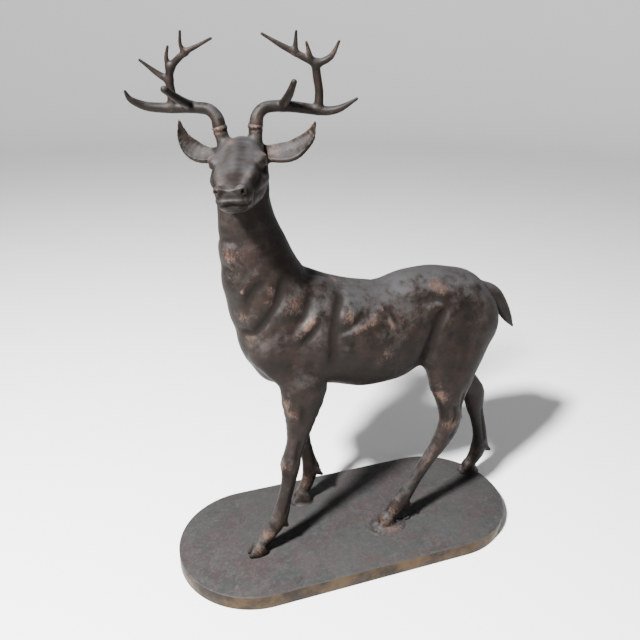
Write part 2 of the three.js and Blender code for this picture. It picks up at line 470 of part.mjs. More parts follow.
// Fold up edges, the least costly first. With `shortest` every edge below that length
// goes, which clears the slivers of a new skin; otherwise the edges that change the form
// least go until `target` faces are left. No fold may pinch the skin or turn a face over.
function thin({ points, faces }, target, shortest = 0) {
  const n = points.length, count = faces.length;
  const q = new Float64Array(n * 10);
  const pos = Float64Array.from(points.flat());
  const tri = Int32Array.from(faces.flat());
  const live = new Uint8Array(count).fill(1);
  const ring = Array.from({ length: n }, () => []);
  const side = new Float64Array(3), other = new Float64Array(3);
  // Twice the area vector of a face, with vertex `v` taken to lie at (x, y, z).
  const areaOf = (f, v, x, y, z, into) => {
    const p = [0, 0, 0, 0, 0, 0, 0, 0, 0];
    for (let c = 0; c < 3; c++) {
      const w = tri[f * 3 + c];
      p[c * 3] = w === v ? x : pos[w * 3];
      p[c * 3 + 1] = w === v ? y : pos[w * 3 + 1];
      p[c * 3 + 2] = w === v ? z : pos[w * 3 + 2];
    }
    const ux = p[3] - p[0], uy = p[4] - p[1], uz = p[5] - p[2];
    const vx = p[6] - p[0], vy = p[7] - p[1], vz = p[8] - p[2];
    into[0] = uy * vz - uz * vy;
    into[1] = uz * vx - ux * vz;
    into[2] = ux * vy - uy * vx;
    const wx = vx - ux, wy = vy - uy, wz = vz - uz;
    return Math.max(ux * ux + uy * uy + uz * uz, vx * vx + vy * vy + vz * vz, wx * wx + wy * wy + wz * wz);
  };
  for (let f = 0; f < count; f++) {
    areaOf(f, -1, 0, 0, 0, side);
    const area = Math.hypot(side[0], side[1], side[2]) || 1;
    const x = side[0] / area, y = side[1] / area, z = side[2] / area, a = tri[f * 3];
    const d = -(x * pos[a * 3] + y * pos[a * 3 + 1] + z * pos[a * 3 + 2]);
    const terms = [x * x, x * y, x * z, x * d, y * y, y * z, y * d, z * z, z * d, d * d];
    for (let c = 0; c < 3; c++) {
      const v = tri[f * 3 + c];
      ring[v].push(f);
      for (let i = 0; i < 10; i++) q[v * 10 + i] += terms[i] * area;
    }
  }
  // Waiting folds: cost, the two ends, their stamps and the place of the new point.
  const stamp = new Int32Array(n);
  let room = count * 8, used = 0, size = 0;
  let cost = new Float64Array(room), ends = new Int32Array(room * 4), spot = new Float64Array(room * 3);
  let heap = new Int32Array(room);
  const grow = () => {
    room *= 2;
    const wider = (old, length) => { const next = new old.constructor(length); next.set(old); return next; };
    cost = wider(cost, room);
    ends = wider(ends, room * 4);
    spot = wider(spot, room * 3);
    heap = wider(heap, room);
  };
  const s = new Float64Array(10);
  const offer = (a, b) => {
    if (used + 1 >= room) grow();
    for (let i = 0; i < 10; i++) s[i] = q[a * 10 + i] + q[b * 10 + i];
    const dx = pos[a * 3] - pos[b * 3], dy = pos[a * 3 + 1] - pos[b * 3 + 1],
        dz = pos[a * 3 + 2] - pos[b * 3 + 2];
    const len2 = dx * dx + dy * dy + dz * dz;
    const mx = (pos[a * 3] + pos[b * 3]) / 2, my = (pos[a * 3 + 1] + pos[b * 3 + 1]) / 2,
        mz = (pos[a * 3 + 2] + pos[b * 3 + 2]) / 2;
    let x = mx, y = my, z = mz;
    const c0 = s[4] * s[7] - s[5] * s[5], c1 = s[2] * s[5] - s[1] * s[7], c2 = s[1] * s[5] - s[2] * s[4];
    const det = s[0] * c0 + s[1] * c1 + s[2] * c2;
    if (!shortest && Math.abs(det) > 1e-3 * (s[0] + s[4] + s[7]) ** 3) {
      const c4 = s[0] * s[7] - s[2] * s[2], c5 = s[1] * s[2] - s[0] * s[5], c8 = s[0] * s[4] - s[1] * s[1];
      const tx = -(c0 * s[3] + c1 * s[6] + c2 * s[8]) / det;
      const ty = -(c1 * s[3] + c4 * s[6] + c5 * s[8]) / det;
      const tz = -(c2 * s[3] + c5 * s[6] + c8 * s[8]) / det;
      if ((tx - mx) ** 2 + (ty - my) ** 2 + (tz - mz) ** 2 < len2) { x = tx; y = ty; z = tz; }
    }
    cost[used] = shortest ? len2 : s[0] * x * x + 2 * s[1] * x * y + 2 * s[2] * x * z + 2 * s[3] * x +
        s[4] * y * y
      + 2 * s[5] * y * z + 2 * s[6] * y + s[7] * z * z + 2 * s[8] * z + s[9] + 4e-4 * len2 * len2;
    if (shortest && len2 > shortest * shortest) return;
    ends.set([a, b, stamp[a], stamp[b]], used * 4);
    spot[used * 3] = x;
    spot[used * 3 + 1] = y;
    spot[used * 3 + 2] = z;
    let i = size++;
    const id = used++;
    while (i > 0) {
      const p = (i - 1) >> 1;
      if (cost[heap[p]] <= cost[id]) break;
      heap[i] = heap[p];
      i = p;
    }
    heap[i] = id;
  };
  const take = () => {
    const top = heap[0], id = heap[--size];
    let i = 0;
    for (;;) {
      let c = 2 * i + 1;
      if (c >= size) break;
      if (c + 1 < size && cost[heap[c + 1]] < cost[heap[c]]) c++;
      if (cost[heap[c]] >= cost[id]) break;
      heap[i] = heap[c];
      i = c;
    }
    heap[i] = id;
    return top;
  };
  const mark = new Int32Array(n);
  let pass = 0;
  const sharedBy = (a, b) => {
    const first = ++pass, second = ++pass;
    for (const f of ring[a]) for (let c = 0; c < 3; c++) mark[tri[f * 3 + c]] = first;
    let shared = 0;
    for (const f of ring[b]) for (let c = 0; c < 3; c++) {
      const w = tri[f * 3 + c];
      if (w !== a && w !== b && mark[w] === first) { mark[w] = second; shared++; }
    }
    return shared;
  };
  let left = count;
  for (let f = 0; f < count; f++) for (let c = 0; c < 3; c++) {
    const v = tri[f * 3 + c], w = tri[f * 3 + (c + 1) % 3];
    if (v < w) offer(v, w);
  }
  while (left > target && size > 0) {
    const id = take(), a = ends[id * 4], b = ends[id * 4 + 1];
    if (stamp[a] !== ends[id * 4 + 2] || stamp[b] !== ends[id * 4 + 3] || sharedBy(a, b) !== 2) continue;
    const x = spot[id * 3], y = spot[id * 3 + 1], z = spot[id * 3 + 2];
    let bad = false;
    for (const v of [a, b]) for (const f of ring[v]) {
      const t = f * 3;
      if ((tri[t] === a || tri[t + 1] === a || tri[t + 2] === a) &&
          (tri[t] === b || tri[t + 1] === b || tri[t + 2] === b)) continue;
      const longBefore = areaOf(f, -1, 0, 0, 0, side), longAfter = areaOf(f, v, x, y, z, other);
      const before = Math.hypot(side[0], side[1], side[2]), after = Math.hypot(other[0], other[1], other[2]);
      const turn = side[0] * other[0] + side[1] * other[1] + side[2] * other[2];
      const sliver = before < 0.12 * longBefore, worse = after < 0.2 * longAfter &&
          after * longBefore < before * longAfter;
      if ((!sliver && turn < 0.35 * before * after) || (worse && !shortest)) { bad = true; break; }
    }
    if (bad) continue;
    pos[a * 3] = x;
    pos[a * 3 + 1] = y;
    pos[a * 3 + 2] = z;
    for (let i = 0; i < 10; i++) q[a * 10 + i] += q[b * 10 + i];
    for (const f of ring[b]) {
      const t = f * 3;
      if (tri[t] === a || tri[t + 1] === a || tri[t + 2] === a) {
        live[f] = 0;
        left--;
        for (let c = 0; c < 3; c++) {
          const w = tri[t + c];
          if (w !== b) ring[w].splice(ring[w].indexOf(f), 1);
        }
      } else {
        for (let c = 0; c < 3; c++) if (tri[t + c] === b) tri[t + c] = a;
        ring[a].push(f);
      }
    }
    ring[b] = [];
    stamp[a]++;
    stamp[b]++;
    const tag = ++pass;
    mark[a] = tag;
    for (const f of ring[a]) for (let c = 0; c < 3; c++) {
      const w = tri[f * 3 + c];
      if (mark[w] !== tag) { mark[w] = tag; offer(a, w); }
    }
  }
  const name = new Int32Array(n).fill(-1), kept = [], corners = [];
  for (let f = 0; f < count; f++) if (live[f]) for (let c = 0; c < 3; c++) {
    const v = tri[f * 3 + c];
    if (name[v] < 0) { name[v] = kept.length; kept.push([pos[v * 3], pos[v * 3 + 1], pos[v * 3 + 2]]); }
    corners.push(name[v]);
  }
  return { points: kept, faces: Array.from({ length: corners.length / 3 },
      (_, i) => corners.slice(i * 3, i * 3 + 3)) };
}

// Slide every point toward the middle of its neighbours by `even` of the way, along the
// skin, and put it back on the field, `swell` outside it.
function settle({ points, faces }, field, rounds, even, swell = 0) {
  const beside = points.map(() => new Set());
  for (const f of faces) for (let c = 0; c < 3; c++) beside[f[c]].add(f[(c + 1) % 3]).add(f[(c + 2) % 3]);
  const e = 0.5;
  const slope = (near, [x, y, z]) => {
    const d = valueOf(near, x, y, z);
    return [d - swell, [(valueOf(near, x + e, y, z) - d) / e, (valueOf(near, x, y + e, z) - d) / e,
        (valueOf(near, x, y, z + e) - d) / e]];
  };
  const places = points.map((p) => nearby(field, p, 12));
  for (let round = 0; round < rounds; round++) {
    points = points.map((p, i) => {
      let r = p;
      if (even) {
        const list = [...beside[i]], middle = scaled(plus(...list.map((j) => points[j])), 1 / list.length);
        const g = slope(places[i], p)[1];
        const move = scaled(sub(middle, p), even);
        r = plus(p, sub(move, scaled(g, dot(move, g) / Math.max(dot(g, g), 0.05))));
      }
      const [d, g] = slope(places[i], r);
      return sub(r, scaled(g, Math.max(-4, Math.min(4, d / Math.max(dot(g, g), 0.1)))));
    });
  }
  return { points, faces };
}

// Lay a skin's grid over a field, with a margin.
function cast(field, cell, target, fineCell, fine) {
  const low = [1e9, 1e9, 1e9], high = [-1e9, -1e9, -1e9];
  for (const m of field.masses) for (let i = 0; i < 3; i++) {
    low[i] = Math.min(low[i], m.centre[i] - m.reach - 12);
    high[i] = Math.max(high[i], m.centre[i] + m.reach + 12);
  }
  if (fine) low[2] = Math.max(low[2], -30);
  const axis = (i) => lines(low[i], high[i], cell, fineCell, fine ? fine[i][0] : 0, fine ? fine[i][1] : 0);
  let mesh = skin(field, axis(0), axis(1), axis(2));
  mesh = settle(thin(mesh, 0, (fineCell || cell) * 0.55), field, 3, 0.4);
  mesh = settle(thin(mesh, target), field, 2, 0, 0.7);
  const geometry = new THREE.BufferGeometry();
  geometry.setAttribute('position', new THREE.Float32BufferAttribute(mesh.points.flat(), 3));
  geometry.setIndex(mesh.faces.flat());
  return geometry;
}

const wasm = await Module();
wasm.setup();
const { Manifold, Mesh } = wasm;
const solidOf = (geometry) => new Manifold(new Mesh({
  numProp: 3,
  vertProperties: Float32Array.from(geometry.getAttribute('position').array),
  triVerts: Uint32Array.from(geometry.getIndex().array),
}));
const geometryOf = (solid) => {
  const mesh = solid.getMesh();
  const geometry = new THREE.BufferGeometry();
  geometry.setAttribute('position', new THREE.Float32BufferAttribute(mesh.vertProperties, 3));
  geometry.setIndex(Array.from(mesh.triVerts));
  return geometry;
};

// A closed block, its lower face centred on `at` and square to `normal`.
function block(at, normal, size, height) {
  const geometry = new THREE.BoxGeometry(size, size, height);
  geometry.deleteAttribute('normal');
  geometry.deleteAttribute('uv');
  const corners = [], index = [];
  const seen = new Map();
  const position = geometry.getAttribute('position');
  for (let i = 0; i < position.count; i++) {
    const key = [position.getX(i), position.getY(i), position.getZ(i)].join();
    if (!seen.has(key)) { seen.set(key, corners.length / 3); corners.push(position.getX(i),
        position.getY(i), position.getZ(i)); }
  }
  for (const i of geometry.getIndex().array) index.push(seen.get([position.getX(i), position.getY(i),
      position.getZ(i)].join()));
  const clean = new THREE.BufferGeometry();
  clean.setAttribute('position', new THREE.Float32BufferAttribute(corners, 3));
  clean.setIndex(index);
  clean.translate(0, 0, height / 2);
  clean.applyQuaternion(new THREE.Quaternion().setFromUnitVectors(new THREE.Vector3(0, 0, 1),
      new THREE.Vector3(...normal)));
  clean.translate(...at);
  return solidOf(clean);
}

// The flat joint where an antler is let into its pedicle: a point and the way it faces.
const joint = (side) => {
  const way = unit(side > 0 ? turned(-3, 5, 20) : turned(-3, -5, 20));
  return { at: inHead(-13, side * 48.5 - 3, 90), way };
};

function makeStag() {
  const figure = buildFigure();
  buildHead(figure);
  const g = cast(figure, bodyCell, bodyFaces, headCell, [[200, 500], [-80, 240], [1190, 1400]]);
  let solid = solidOf(g);
  const ground = block([0, 0, 0], [0, 0, -1], 3000, 200);
  solid = solid.subtract(ground);
  for (const side of [-1, 1]) {
    const { at, way } = joint(side);
    solid = solid.subtract(block(at, way, 60, 60));
  }
  return geometryOf(solid);
}

function makeAntler(side) {
  const g = cast(buildAntler(side > 0 ? antlers.left : antlers.right), antlerCell, antlerFaces);
  const { at, way } = joint(side);
  const lifted = plus(at, scaled(way, gap / share));
  return geometryOf(solidOf(g).subtract(block(lifted, scaled(way, -1), 90, 60)));
}

// A plate with half-round ends and a small chamfer on its edges.
function makePlate() {
  const r = plateWidth / 2 - plateEdge, straight = plateLength / 2 - plateWidth / 2;
  const outline = new THREE.Shape();
  outline.absarc(straight, 0, r, -Math.PI / 2, Math.PI / 2, false);
  outline.absarc(-straight, 0, r, Math.PI / 2, Math.PI * 1.5, false);
  const geometry = new THREE.ExtrudeGeometry(outline, {
    depth: plateThickness - 2 * plateEdge, bevelEnabled: true, bevelThickness: plateEdge,
    bevelSize: plateEdge, bevelSegments: 1, curveSegments: 24,
  });
  geometry.translate(0, 0, plateEdge);
  return geometry;
}

const patina = (name, colour, metalness, roughness) => new THREE.MeshStandardMaterial({ name, color: colour,
    metalness, roughness });

const part = new THREE.Group();
part.name = 'stag_sculpture';
function place(name, geometry, material) {
  const mesh = new THREE.Mesh(geometry, material);
  mesh.name = name;
  part.add(mesh);
}
place('base_plate', makePlate(), patina('plate_patina', 0x5b504a, 0.6, 0.6));
const lift = plateThickness + gap;
const stand = (geometry) => geometry.scale(share, share, share).translate(0, 0, lift);
place('stag', stand(makeStag()), patina('stag_patina', 0x3a312d, 0.8, 0.45));
place('antler_left', stand(makeAntler(1)), patina('antler_left_patina', 0x453a35, 0.8, 0.45));
place('antler_right', stand(makeAntler(-1)), patina('antler_right_patina', 0x453a35, 0.8, 0.45));

export default part;
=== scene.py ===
"""Stag sculpture: a cast bronze stag on a plate with half-round ends, modelled round
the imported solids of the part. Sizes inside the figure are in millimetres, measured from
the middle of the plate's top, and everything is turned into metres when a mesh is made."""

import math

import bmesh
import bpy
import numpy as np
from mathutils import Matrix, Vector


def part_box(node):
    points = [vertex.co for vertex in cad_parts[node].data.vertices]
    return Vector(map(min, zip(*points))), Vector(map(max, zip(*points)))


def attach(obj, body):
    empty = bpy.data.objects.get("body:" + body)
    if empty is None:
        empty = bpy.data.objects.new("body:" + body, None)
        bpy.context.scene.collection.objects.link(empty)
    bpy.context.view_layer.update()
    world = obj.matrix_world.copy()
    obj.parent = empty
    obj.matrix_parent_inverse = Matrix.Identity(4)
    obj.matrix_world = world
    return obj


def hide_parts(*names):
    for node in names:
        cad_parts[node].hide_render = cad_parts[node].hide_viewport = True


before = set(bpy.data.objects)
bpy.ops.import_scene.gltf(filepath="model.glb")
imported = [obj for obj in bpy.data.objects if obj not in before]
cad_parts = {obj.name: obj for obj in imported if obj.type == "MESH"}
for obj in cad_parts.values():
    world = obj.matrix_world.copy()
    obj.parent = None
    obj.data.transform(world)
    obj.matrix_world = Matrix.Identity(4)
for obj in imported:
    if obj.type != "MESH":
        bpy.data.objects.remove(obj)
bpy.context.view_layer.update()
PLATE_LOW, PLATE_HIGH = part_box("base_plate")
STAG_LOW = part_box("stag")[0]

bl_info = {
    "name": "Stag sculpture",
    "version": (1, 0, 0),
    "blender": (4, 5, 0),
    "location": "3D View > Sidebar > Stag",
    "description": "Models a cast bronze stag on its base plate",
    "category": "Add Mesh",
}

MM = 0.001
MIDLINE = -15
# The gap between an antler and its pedicle, and where the head's finer facets reach to.
JOINT_GAP = 0.3
HEAD_REACH = 225
JAW_HEIGHT = 1185


# Vectors and the distance field the figure is sculpted in.

def vec(*values):
    return np.array(values, float)


def unit(a):
    return np.asarray(a, float) / np.linalg.norm(a)


class Mass:
    """Something with a centre and a reach, that can be left out where it is far away."""

    def near(self, centre, room):
        return self if np.linalg.norm(self.centre - centre) < self.reach + room + self.blend else None


class Bar(Mass):
    """A rounded bar with an oval section: `wide` along the side axis, `deep` across it."""

    def __init__(self, a, b, wide, deep, side=(0, 1, 0), blend=14):
        self.a = np.asarray(a, float)
        self.ab = np.asarray(b, float) - self.a
        self.length2 = max(float(self.ab @ self.ab), 1e-6)
        self.wide = wide
        self.deep = deep
        self.side = unit(side)
        self.blend = blend
        self.centre = self.a + self.ab / 2
        self.reach = math.sqrt(self.length2) / 2 + max(*wide, *deep)

    def at(self, p):
        q = p - self.a
        t = np.clip(q @ self.ab / self.length2, 0, 1)
        q = q - t[:, None] * self.ab
        w = self.wide[0] + (self.wide[1] - self.wide[0]) * t
        d = self.deep[0] + (self.deep[1] - self.deep[0]) * t
        s2 = (q @ self.side) ** 2
        r2 = np.maximum((q * q).sum(1) - s2, 0)
        k0 = np.sqrt(s2 / w ** 2 + r2 / d ** 2)
        k1 = np.sqrt(s2 / w ** 4 + r2 / d ** 4) + 1e-9
        return np.where(k0 < 1e-6, -np.minimum(w, d), k0 * (k0 - 1) / k1)


class Egg(Mass):
    """An egg with three half sizes along three axes."""

    def __init__(self, centre, half, axes=None, blend=14):
        self.centre = np.asarray(centre, float)
        self.half = np.asarray(half, float)
        self.axes = np.eye(3) if axes is None else np.asarray(axes, float)
        self.blend = blend
        self.reach = float(self.half.max())

    def at(self, p):
        q = (p - self.centre) @ self.axes.T / self.half
        k0 = np.sqrt((q * q).sum(1))
        k1 = np.sqrt(((q / self.half) ** 2).sum(1)) + 1e-9
        return np.where(k0 < 1e-6, -self.half.min(), k0 * (k0 - 1) / k1)


class Ridge(Mass):
    """A soft ridge, or a groove where the height is negative, that fades at both ends."""

    def __init__(self, points, height, width):
        self.points = np.asarray(points, float).reshape(-1, 3)
        self.height = height
        self.width = width
        self.centre = self.points.mean(0)
        self.blend = 0
        self.reach = float(np.linalg.norm(self.points - self.centre, axis=1).max()) + 2.5 * width
        self.lengths = np.linalg.norm(np.diff(self.points, axis=0), axis=1)
        self.fades = len(self.points) > 1 and np.linalg.norm(self.points[0] - self.points[-1]) > width

    def at(self, p):
        best = ((p - self.points[0]) ** 2).sum(1)
        along = np.zeros(len(p))
        start = 0.0
        for a, b, length in zip(self.points[:-1], self.points[1:], self.lengths):
            ab = b - a
            t = np.clip((p - a) @ ab / max(length ** 2, 1e-6), 0, 1)
            away = ((p - a - t[:, None] * ab) ** 2).sum(1)
            closer = away <= best
            best = np.where(closer, away, best)
            along = np.where(closer, start + t * length, along)
            start += length
        value = self.height * np.exp(-best / self.width ** 2)
        if not self.fades:
            return value
        end = np.minimum(along, start - along) / min(2.2 * self.width, 0.5 * start)
        return value * np.clip(0.25 + 0.75 * np.minimum(end, 1), 0, 1)


class Chain:
    """Bars end to end along a smooth curve through stations (x, y, z, half width, half depth)."""

    def __init__(self, stations, side=(0, 1, 0), blend=14, steps=3):
        s = np.asarray(stations, float)
        s = np.vstack([2 * s[0] - s[1], s, 2 * s[-1] - s[-2]])
        s[0, 3:], s[-1, 3:] = s[1, 3:], s[-2, 3:]
        t = np.arange(steps)[:, None] / steps
        runs = []
        for a, b, c, d in zip(s, s[1:], s[2:], s[3:]):
            runs.append(b + 0.5 * t * (c - a + t * (2 * a - 5 * b + 4 * c - d + t * (3 * (b - c) + d - a))))
        curve = np.vstack([*runs, s[-2]])
        pairs = zip(curve, curve[1:])
        self.bars = [Bar(a[:3], b[:3], (a[3], b[3]), (a[4], b[4]), side, blend) for a, b in pairs]
        self.blend = blend
        self.low = np.min([bar.centre - bar.reach for bar in self.bars], axis=0)
        self.high = np.max([bar.centre + bar.reach for bar in self.bars], axis=0)

    def near(self, centre, room):
        close = [bar for bar in self.bars if bar.near(centre, room)]
        return Run(close, self.blend) if close else None


class Run:
    """The stretch of a chain that is near."""

    def __init__(self, bars, blend):
        self.bars = bars
        self.blend = blend

    def at(self, p):
        return np.min([bar.at(p) for bar in self.bars], axis=0)


def meld(a, b, k):
    h = np.maximum(k - np.abs(a - b), 0) / k
    return np.minimum(a, b) - h * h * k * 0.25


class Field:
    """Masses melded in order, hollows taken away, then ridges and grooves."""

    def __init__(self):
        self.masses = []
        self.hollows = []
        self.ridges = []
        self.carvings = []

    def carve(self, points, height, width):
        """Note a ridge or groove, to be laid on the skin once all masses are there."""
        self.carvings.append((points, height, width))

    def press_carvings(self):
        counts = [len(points) for points, _, _ in self.carvings]
        laid = self.settle(np.array([p for points, _, _ in self.carvings for p in points], float), 4, 12)
        for points, (_, height, width) in zip(np.split(laid, np.cumsum(counts)[:-1]), self.carvings):
            self.ridges.append(Ridge(points, height, width))
        self.carvings = []

    def near(self, centre, reach, slack):
        def close(parts, room):
            return [m for m in (part.near(centre, reach + room) for part in parts) if m]
        return close(self.masses, slack), close(self.hollows, 5), close(self.ridges, 0)

    def at(self, points, slack=30, room=90.0):
        """The distance to the skin, worked out block by block with the parts that are near."""
        out = np.full(len(points), 100.0)
        if not len(points):
            return out
        key = np.floor(points / room).astype(np.int64)
        key -= key.min(0)
        size = key.max(0) + 1
        key = (key[:, 0] * size[1] + key[:, 1]) * size[2] + key[:, 2]
        order = np.argsort(key, kind="stable")
        cuts = np.flatnonzero(np.diff(key[order])) + 1
        for group in np.split(order, cuts):
            p = points[group]
            low, high = p.min(0), p.max(0)
            masses, hollows, ridges = self.near((low + high) / 2, np.linalg.norm(high - low) / 2, slack)
            if not masses:
                continue
            d = np.full(len(p), 1e3)
            for m in masses:
                d = meld(d, m.at(p), m.blend)
            for h in hollows:
                d = -meld(-d, h.at(p), h.blend)
            for r in ridges:
                d = d - r.at(p)
            out[group] = d
        return out

    def relief(self, points):
        """What the ridges and grooves add at each point."""
        total = np.zeros(len(points))
        for r in self.ridges:
            near = np.flatnonzero(((points - r.centre) ** 2).sum(1) < r.reach ** 2)
            total[near] += r.at(points[near])
        return total

    def slope(self, points, step=0.4):
        d = self.at(points)
        g = np.empty_like(points)
        for i in range(3):
            q = points.copy()
            q[:, i] += step
            g[:, i] = (self.at(q) - d) / step
        return d, g

    def settle(self, points, rounds=2, most=3.0):
        """Move points onto the skin."""
        for _ in range(rounds):
            d, g = self.slope(points)
            move = np.clip(d / np.maximum((g * g).sum(1), 0.1), -most, most)
            points = points - move[:, None] * g
        return points


def skin(field, low, high, cell):
    """Points and four-sided faces of the field's skin, one point in each grid cell that
    the skin runs through. A coarse pass finds those cells first."""
    block = 4
    low = np.asarray(low, float)
    blocks = (np.ceil((np.asarray(high, float) - low) / (cell * block)).astype(int) + 1)
    axes = [low[i] + cell * block * np.arange(blocks[i]) for i in range(3)]
    corners = np.stack(np.meshgrid(*axes, indexing="ij"), -1).reshape(-1, 3)
    coarse = field.at(corners, slack=60).reshape(blocks)
    grid = coarse[:-1, :-1, :-1]
    for axis in range(3):
        grid = np.repeat(grid, block, axis)
    grid = np.pad(grid, ((0, 1),) * 3, mode="edge").astype(np.float32)
    close = np.abs(coarse) < cell * block * 1.9
    use = np.zeros(blocks - 1, bool)
    for i, j, k in np.ndindex(2, 2, 2):
        use |= close[i:blocks[0] - 1 + i, j:blocks[1] - 1 + j, k:blocks[2] - 1 + k]
    inner = np.stack(np.meshgrid(*[np.arange(block + 1)] * 3, indexing="ij"), -1).reshape(-1, 3)
    index = (np.argwhere(use)[:, None, :] * block + inner[None]).reshape(-1, 3)
    flat = np.unique(np.ravel_multi_index(index.T, grid.shape))
    index = np.stack(np.unravel_index(flat, grid.shape), -1)
    grid.ravel()[flat] = field.at(low + index * cell)
    cells = tuple(n - 1 for n in grid.shape)
    count = np.zeros(cells, np.int8)
    for i, j, k in np.ndindex(2, 2, 2):
        count += grid[i:cells[0] + i, j:cells[1] + j, k:cells[2] + k] < 0
    mixed = (count > 0) & (count < 8)
    name = np.full(cells, -1, np.int64)
    total = int(mixed.sum())
    name[mixed] = np.arange(total)
    place = np.zeros((total, 3))
    weight = np.zeros(total)
    faces = []
    for axis in range(3):
        a = np.moveaxis(grid, axis, 0)[:-1]
        b = np.moveaxis(grid, axis, 0)[1:]
        edge = np.argwhere(np.moveaxis((a < 0) != (b < 0), 0, axis))
        ahead = edge.copy()
        ahead[:, axis] += 1
        va = grid[tuple(edge.T)]
        vb = grid[tuple(ahead.T)]
        spot = low + edge * cell
        spot[:, axis] += va / (va - vb) * cell
        u, w = (axis + 1) % 3, (axis + 2) % 3
        around = []
        for du, dw in ((-1, -1), (0, -1), (0, 0), (-1, 0)):
            c = edge.copy()
            c[:, u] += du
            c[:, w] += dw
            around.append(name[tuple(c.T)])
            np.add.at(place, around[-1], spot)
            np.add.at(weight, around[-1], 1)
        around = np.stack(around, 1)
        flip = va > 0
        around[flip] = around[flip][:, ::-1]
        faces.append(around)
    return place / weight[:, None], np.concatenate(faces)


# The figure.

def limb(stations, side=(0, 1, 0), blend=14):
    """A run of bars through stations (x, y, z, half width, half depth)."""
    pairs = zip(stations, stations[1:])
    return [Bar(a[:3], b[:3], (a[3], b[3]), (a[4], b[4]), side, blend) for a, b in pairs]


FORE_THICKNESS = [
    (42, 72), (34, 47), (27, 30), (25, 27), (28, 30), (20, 23), (19, 20.5), (22, 25), (18.5, 21)]
HIND_THICKNESS = [
    (46, 84), (38, 56), (31, 42), (27, 37), (26, 36), (22, 28), (19, 23), (18, 22), (23, 26), (19, 21)]


def leg(joints, thickness, fuller=0):
    """A leg from the elbow or stifle down to the pastern."""
    return Chain([(*j, wide + 2, deep + fuller + 2) for j, (wide, deep) in zip(joints, thickness)], blend=12)


def hoof(pastern, sole, turn, size=1.0):
    """A cloven hoof from the pastern to the toe."""
    ahead = vec(math.cos(turn), math.sin(turn), 0) * size
    across = vec(-math.sin(turn), math.cos(turn), 0) * size
    pastern, sole = vec(*pastern), vec(*sole)
    up = vec(0, 0, size)
    parts = [Bar(pastern, sole + up * 34, (18, 22 * size), (20, 25 * size), across, 8)]
    for s in (-1, 1):
        half = sole + across * s * 12
        for back, toe, wide, deep, blend in (
                (up * 28, ahead * 30 + up * 5, (15, 10), (26, 13), 4),
                (up * 12 - ahead * 10, ahead * 14 - up * 4, (15, 14), (22, 17), 5)):
            wide, deep = [w * size for w in wide], [d * size for d in deep]
            parts.append(Bar(half + back, half + toe, wide, deep, across, blend))
    return parts


def build_body(field):
    add = field.masses.append
    trunk = [(-335, 752, 152, 108), (-258, 756, 155, 113), (-185, 752, 153, 108), (-110, 715, 165, 114),
             (-35, 714, 165, 124), (40, 734, 159, 126), (110, 751, 166, 120), (170, 757, 166, 110),
             (230, 764, 141, 98)]
    field.masses += limb([(x, MIDLINE, z, wide, deep) for x, z, deep, wide in trunk], blend=30)
    add(Bar((150, MIDLINE, 650), (252, MIDLINE, 658), (60, 52), (64, 61), blend=30))
    neck = [(228, -15, 800, 98, 130), (262, -15, 870, 96, 128), (294, -14, 950, 87, 110),
            (313, -13, 1028, 77, 93), (329, -12, 1100, 67, 76), (337, -12, 1160, 61, 67),
            (338, -10, 1225, 60, 66)]
    field.masses += limb(neck, blend=24)
    tail = [(-452, -15, 820, 30, 27), (-484, -15, 811, 28, 26), (-516, -15, 789, 25, 25),
            (-549, -15, 742, 22, 23), (-578, -15, 698, 15, 16), (-604, -15, 662, 4, 4)]
    add(Chain(tail, blend=14))
    withers = [(-120, -15, 838, 40, 32), (-40, -15, 852, 50, 43), (50, -15, 860, 56, 51),
               (106, -15, 872, 54, 60), (148, -15, 886, 44, 64), (170, -15, 898, 38, 62)]
    add(Chain(withers, blend=10))
    add(Bar((140, 33, 890), (270, 49, 740), (26, 42), (52, 62), blend=22))
    add(Bar((140, -55, 868), (270, -79, 740), (26, 42), (50, 62), blend=22))
    for s in (-1, 1):
        add(Bar((296, MIDLINE + s * 62, 726), (200, MIDLINE + s * 78, 625), (38, 40), (50, 56), blend=22))
        add(Bar((150, MIDLINE + s * 58, 770), (176, MIDLINE + s * 72, 650), (40, 42), (62, 62), blend=26))
    add(Bar((-345, 42, 760), (-333, 56, 640), (52, 52), (118, 112), blend=26))
    add(Bar((-333, 56, 640), (-325, 68, 560), (52, 44), (108, 80), blend=22))
    for s in (-1, 1):
        add(Egg((-413, MIDLINE + s * 48, 720), (87, 57, 106), blend=26))
    add(Bar((-350, -72, 760), (-365, -90, 610), (52, 44), (116, 88), blend=26))
    add(Bar((-365, -90, 610), (-440, -98, 520), (44, 36), (84, 56), blend=20))


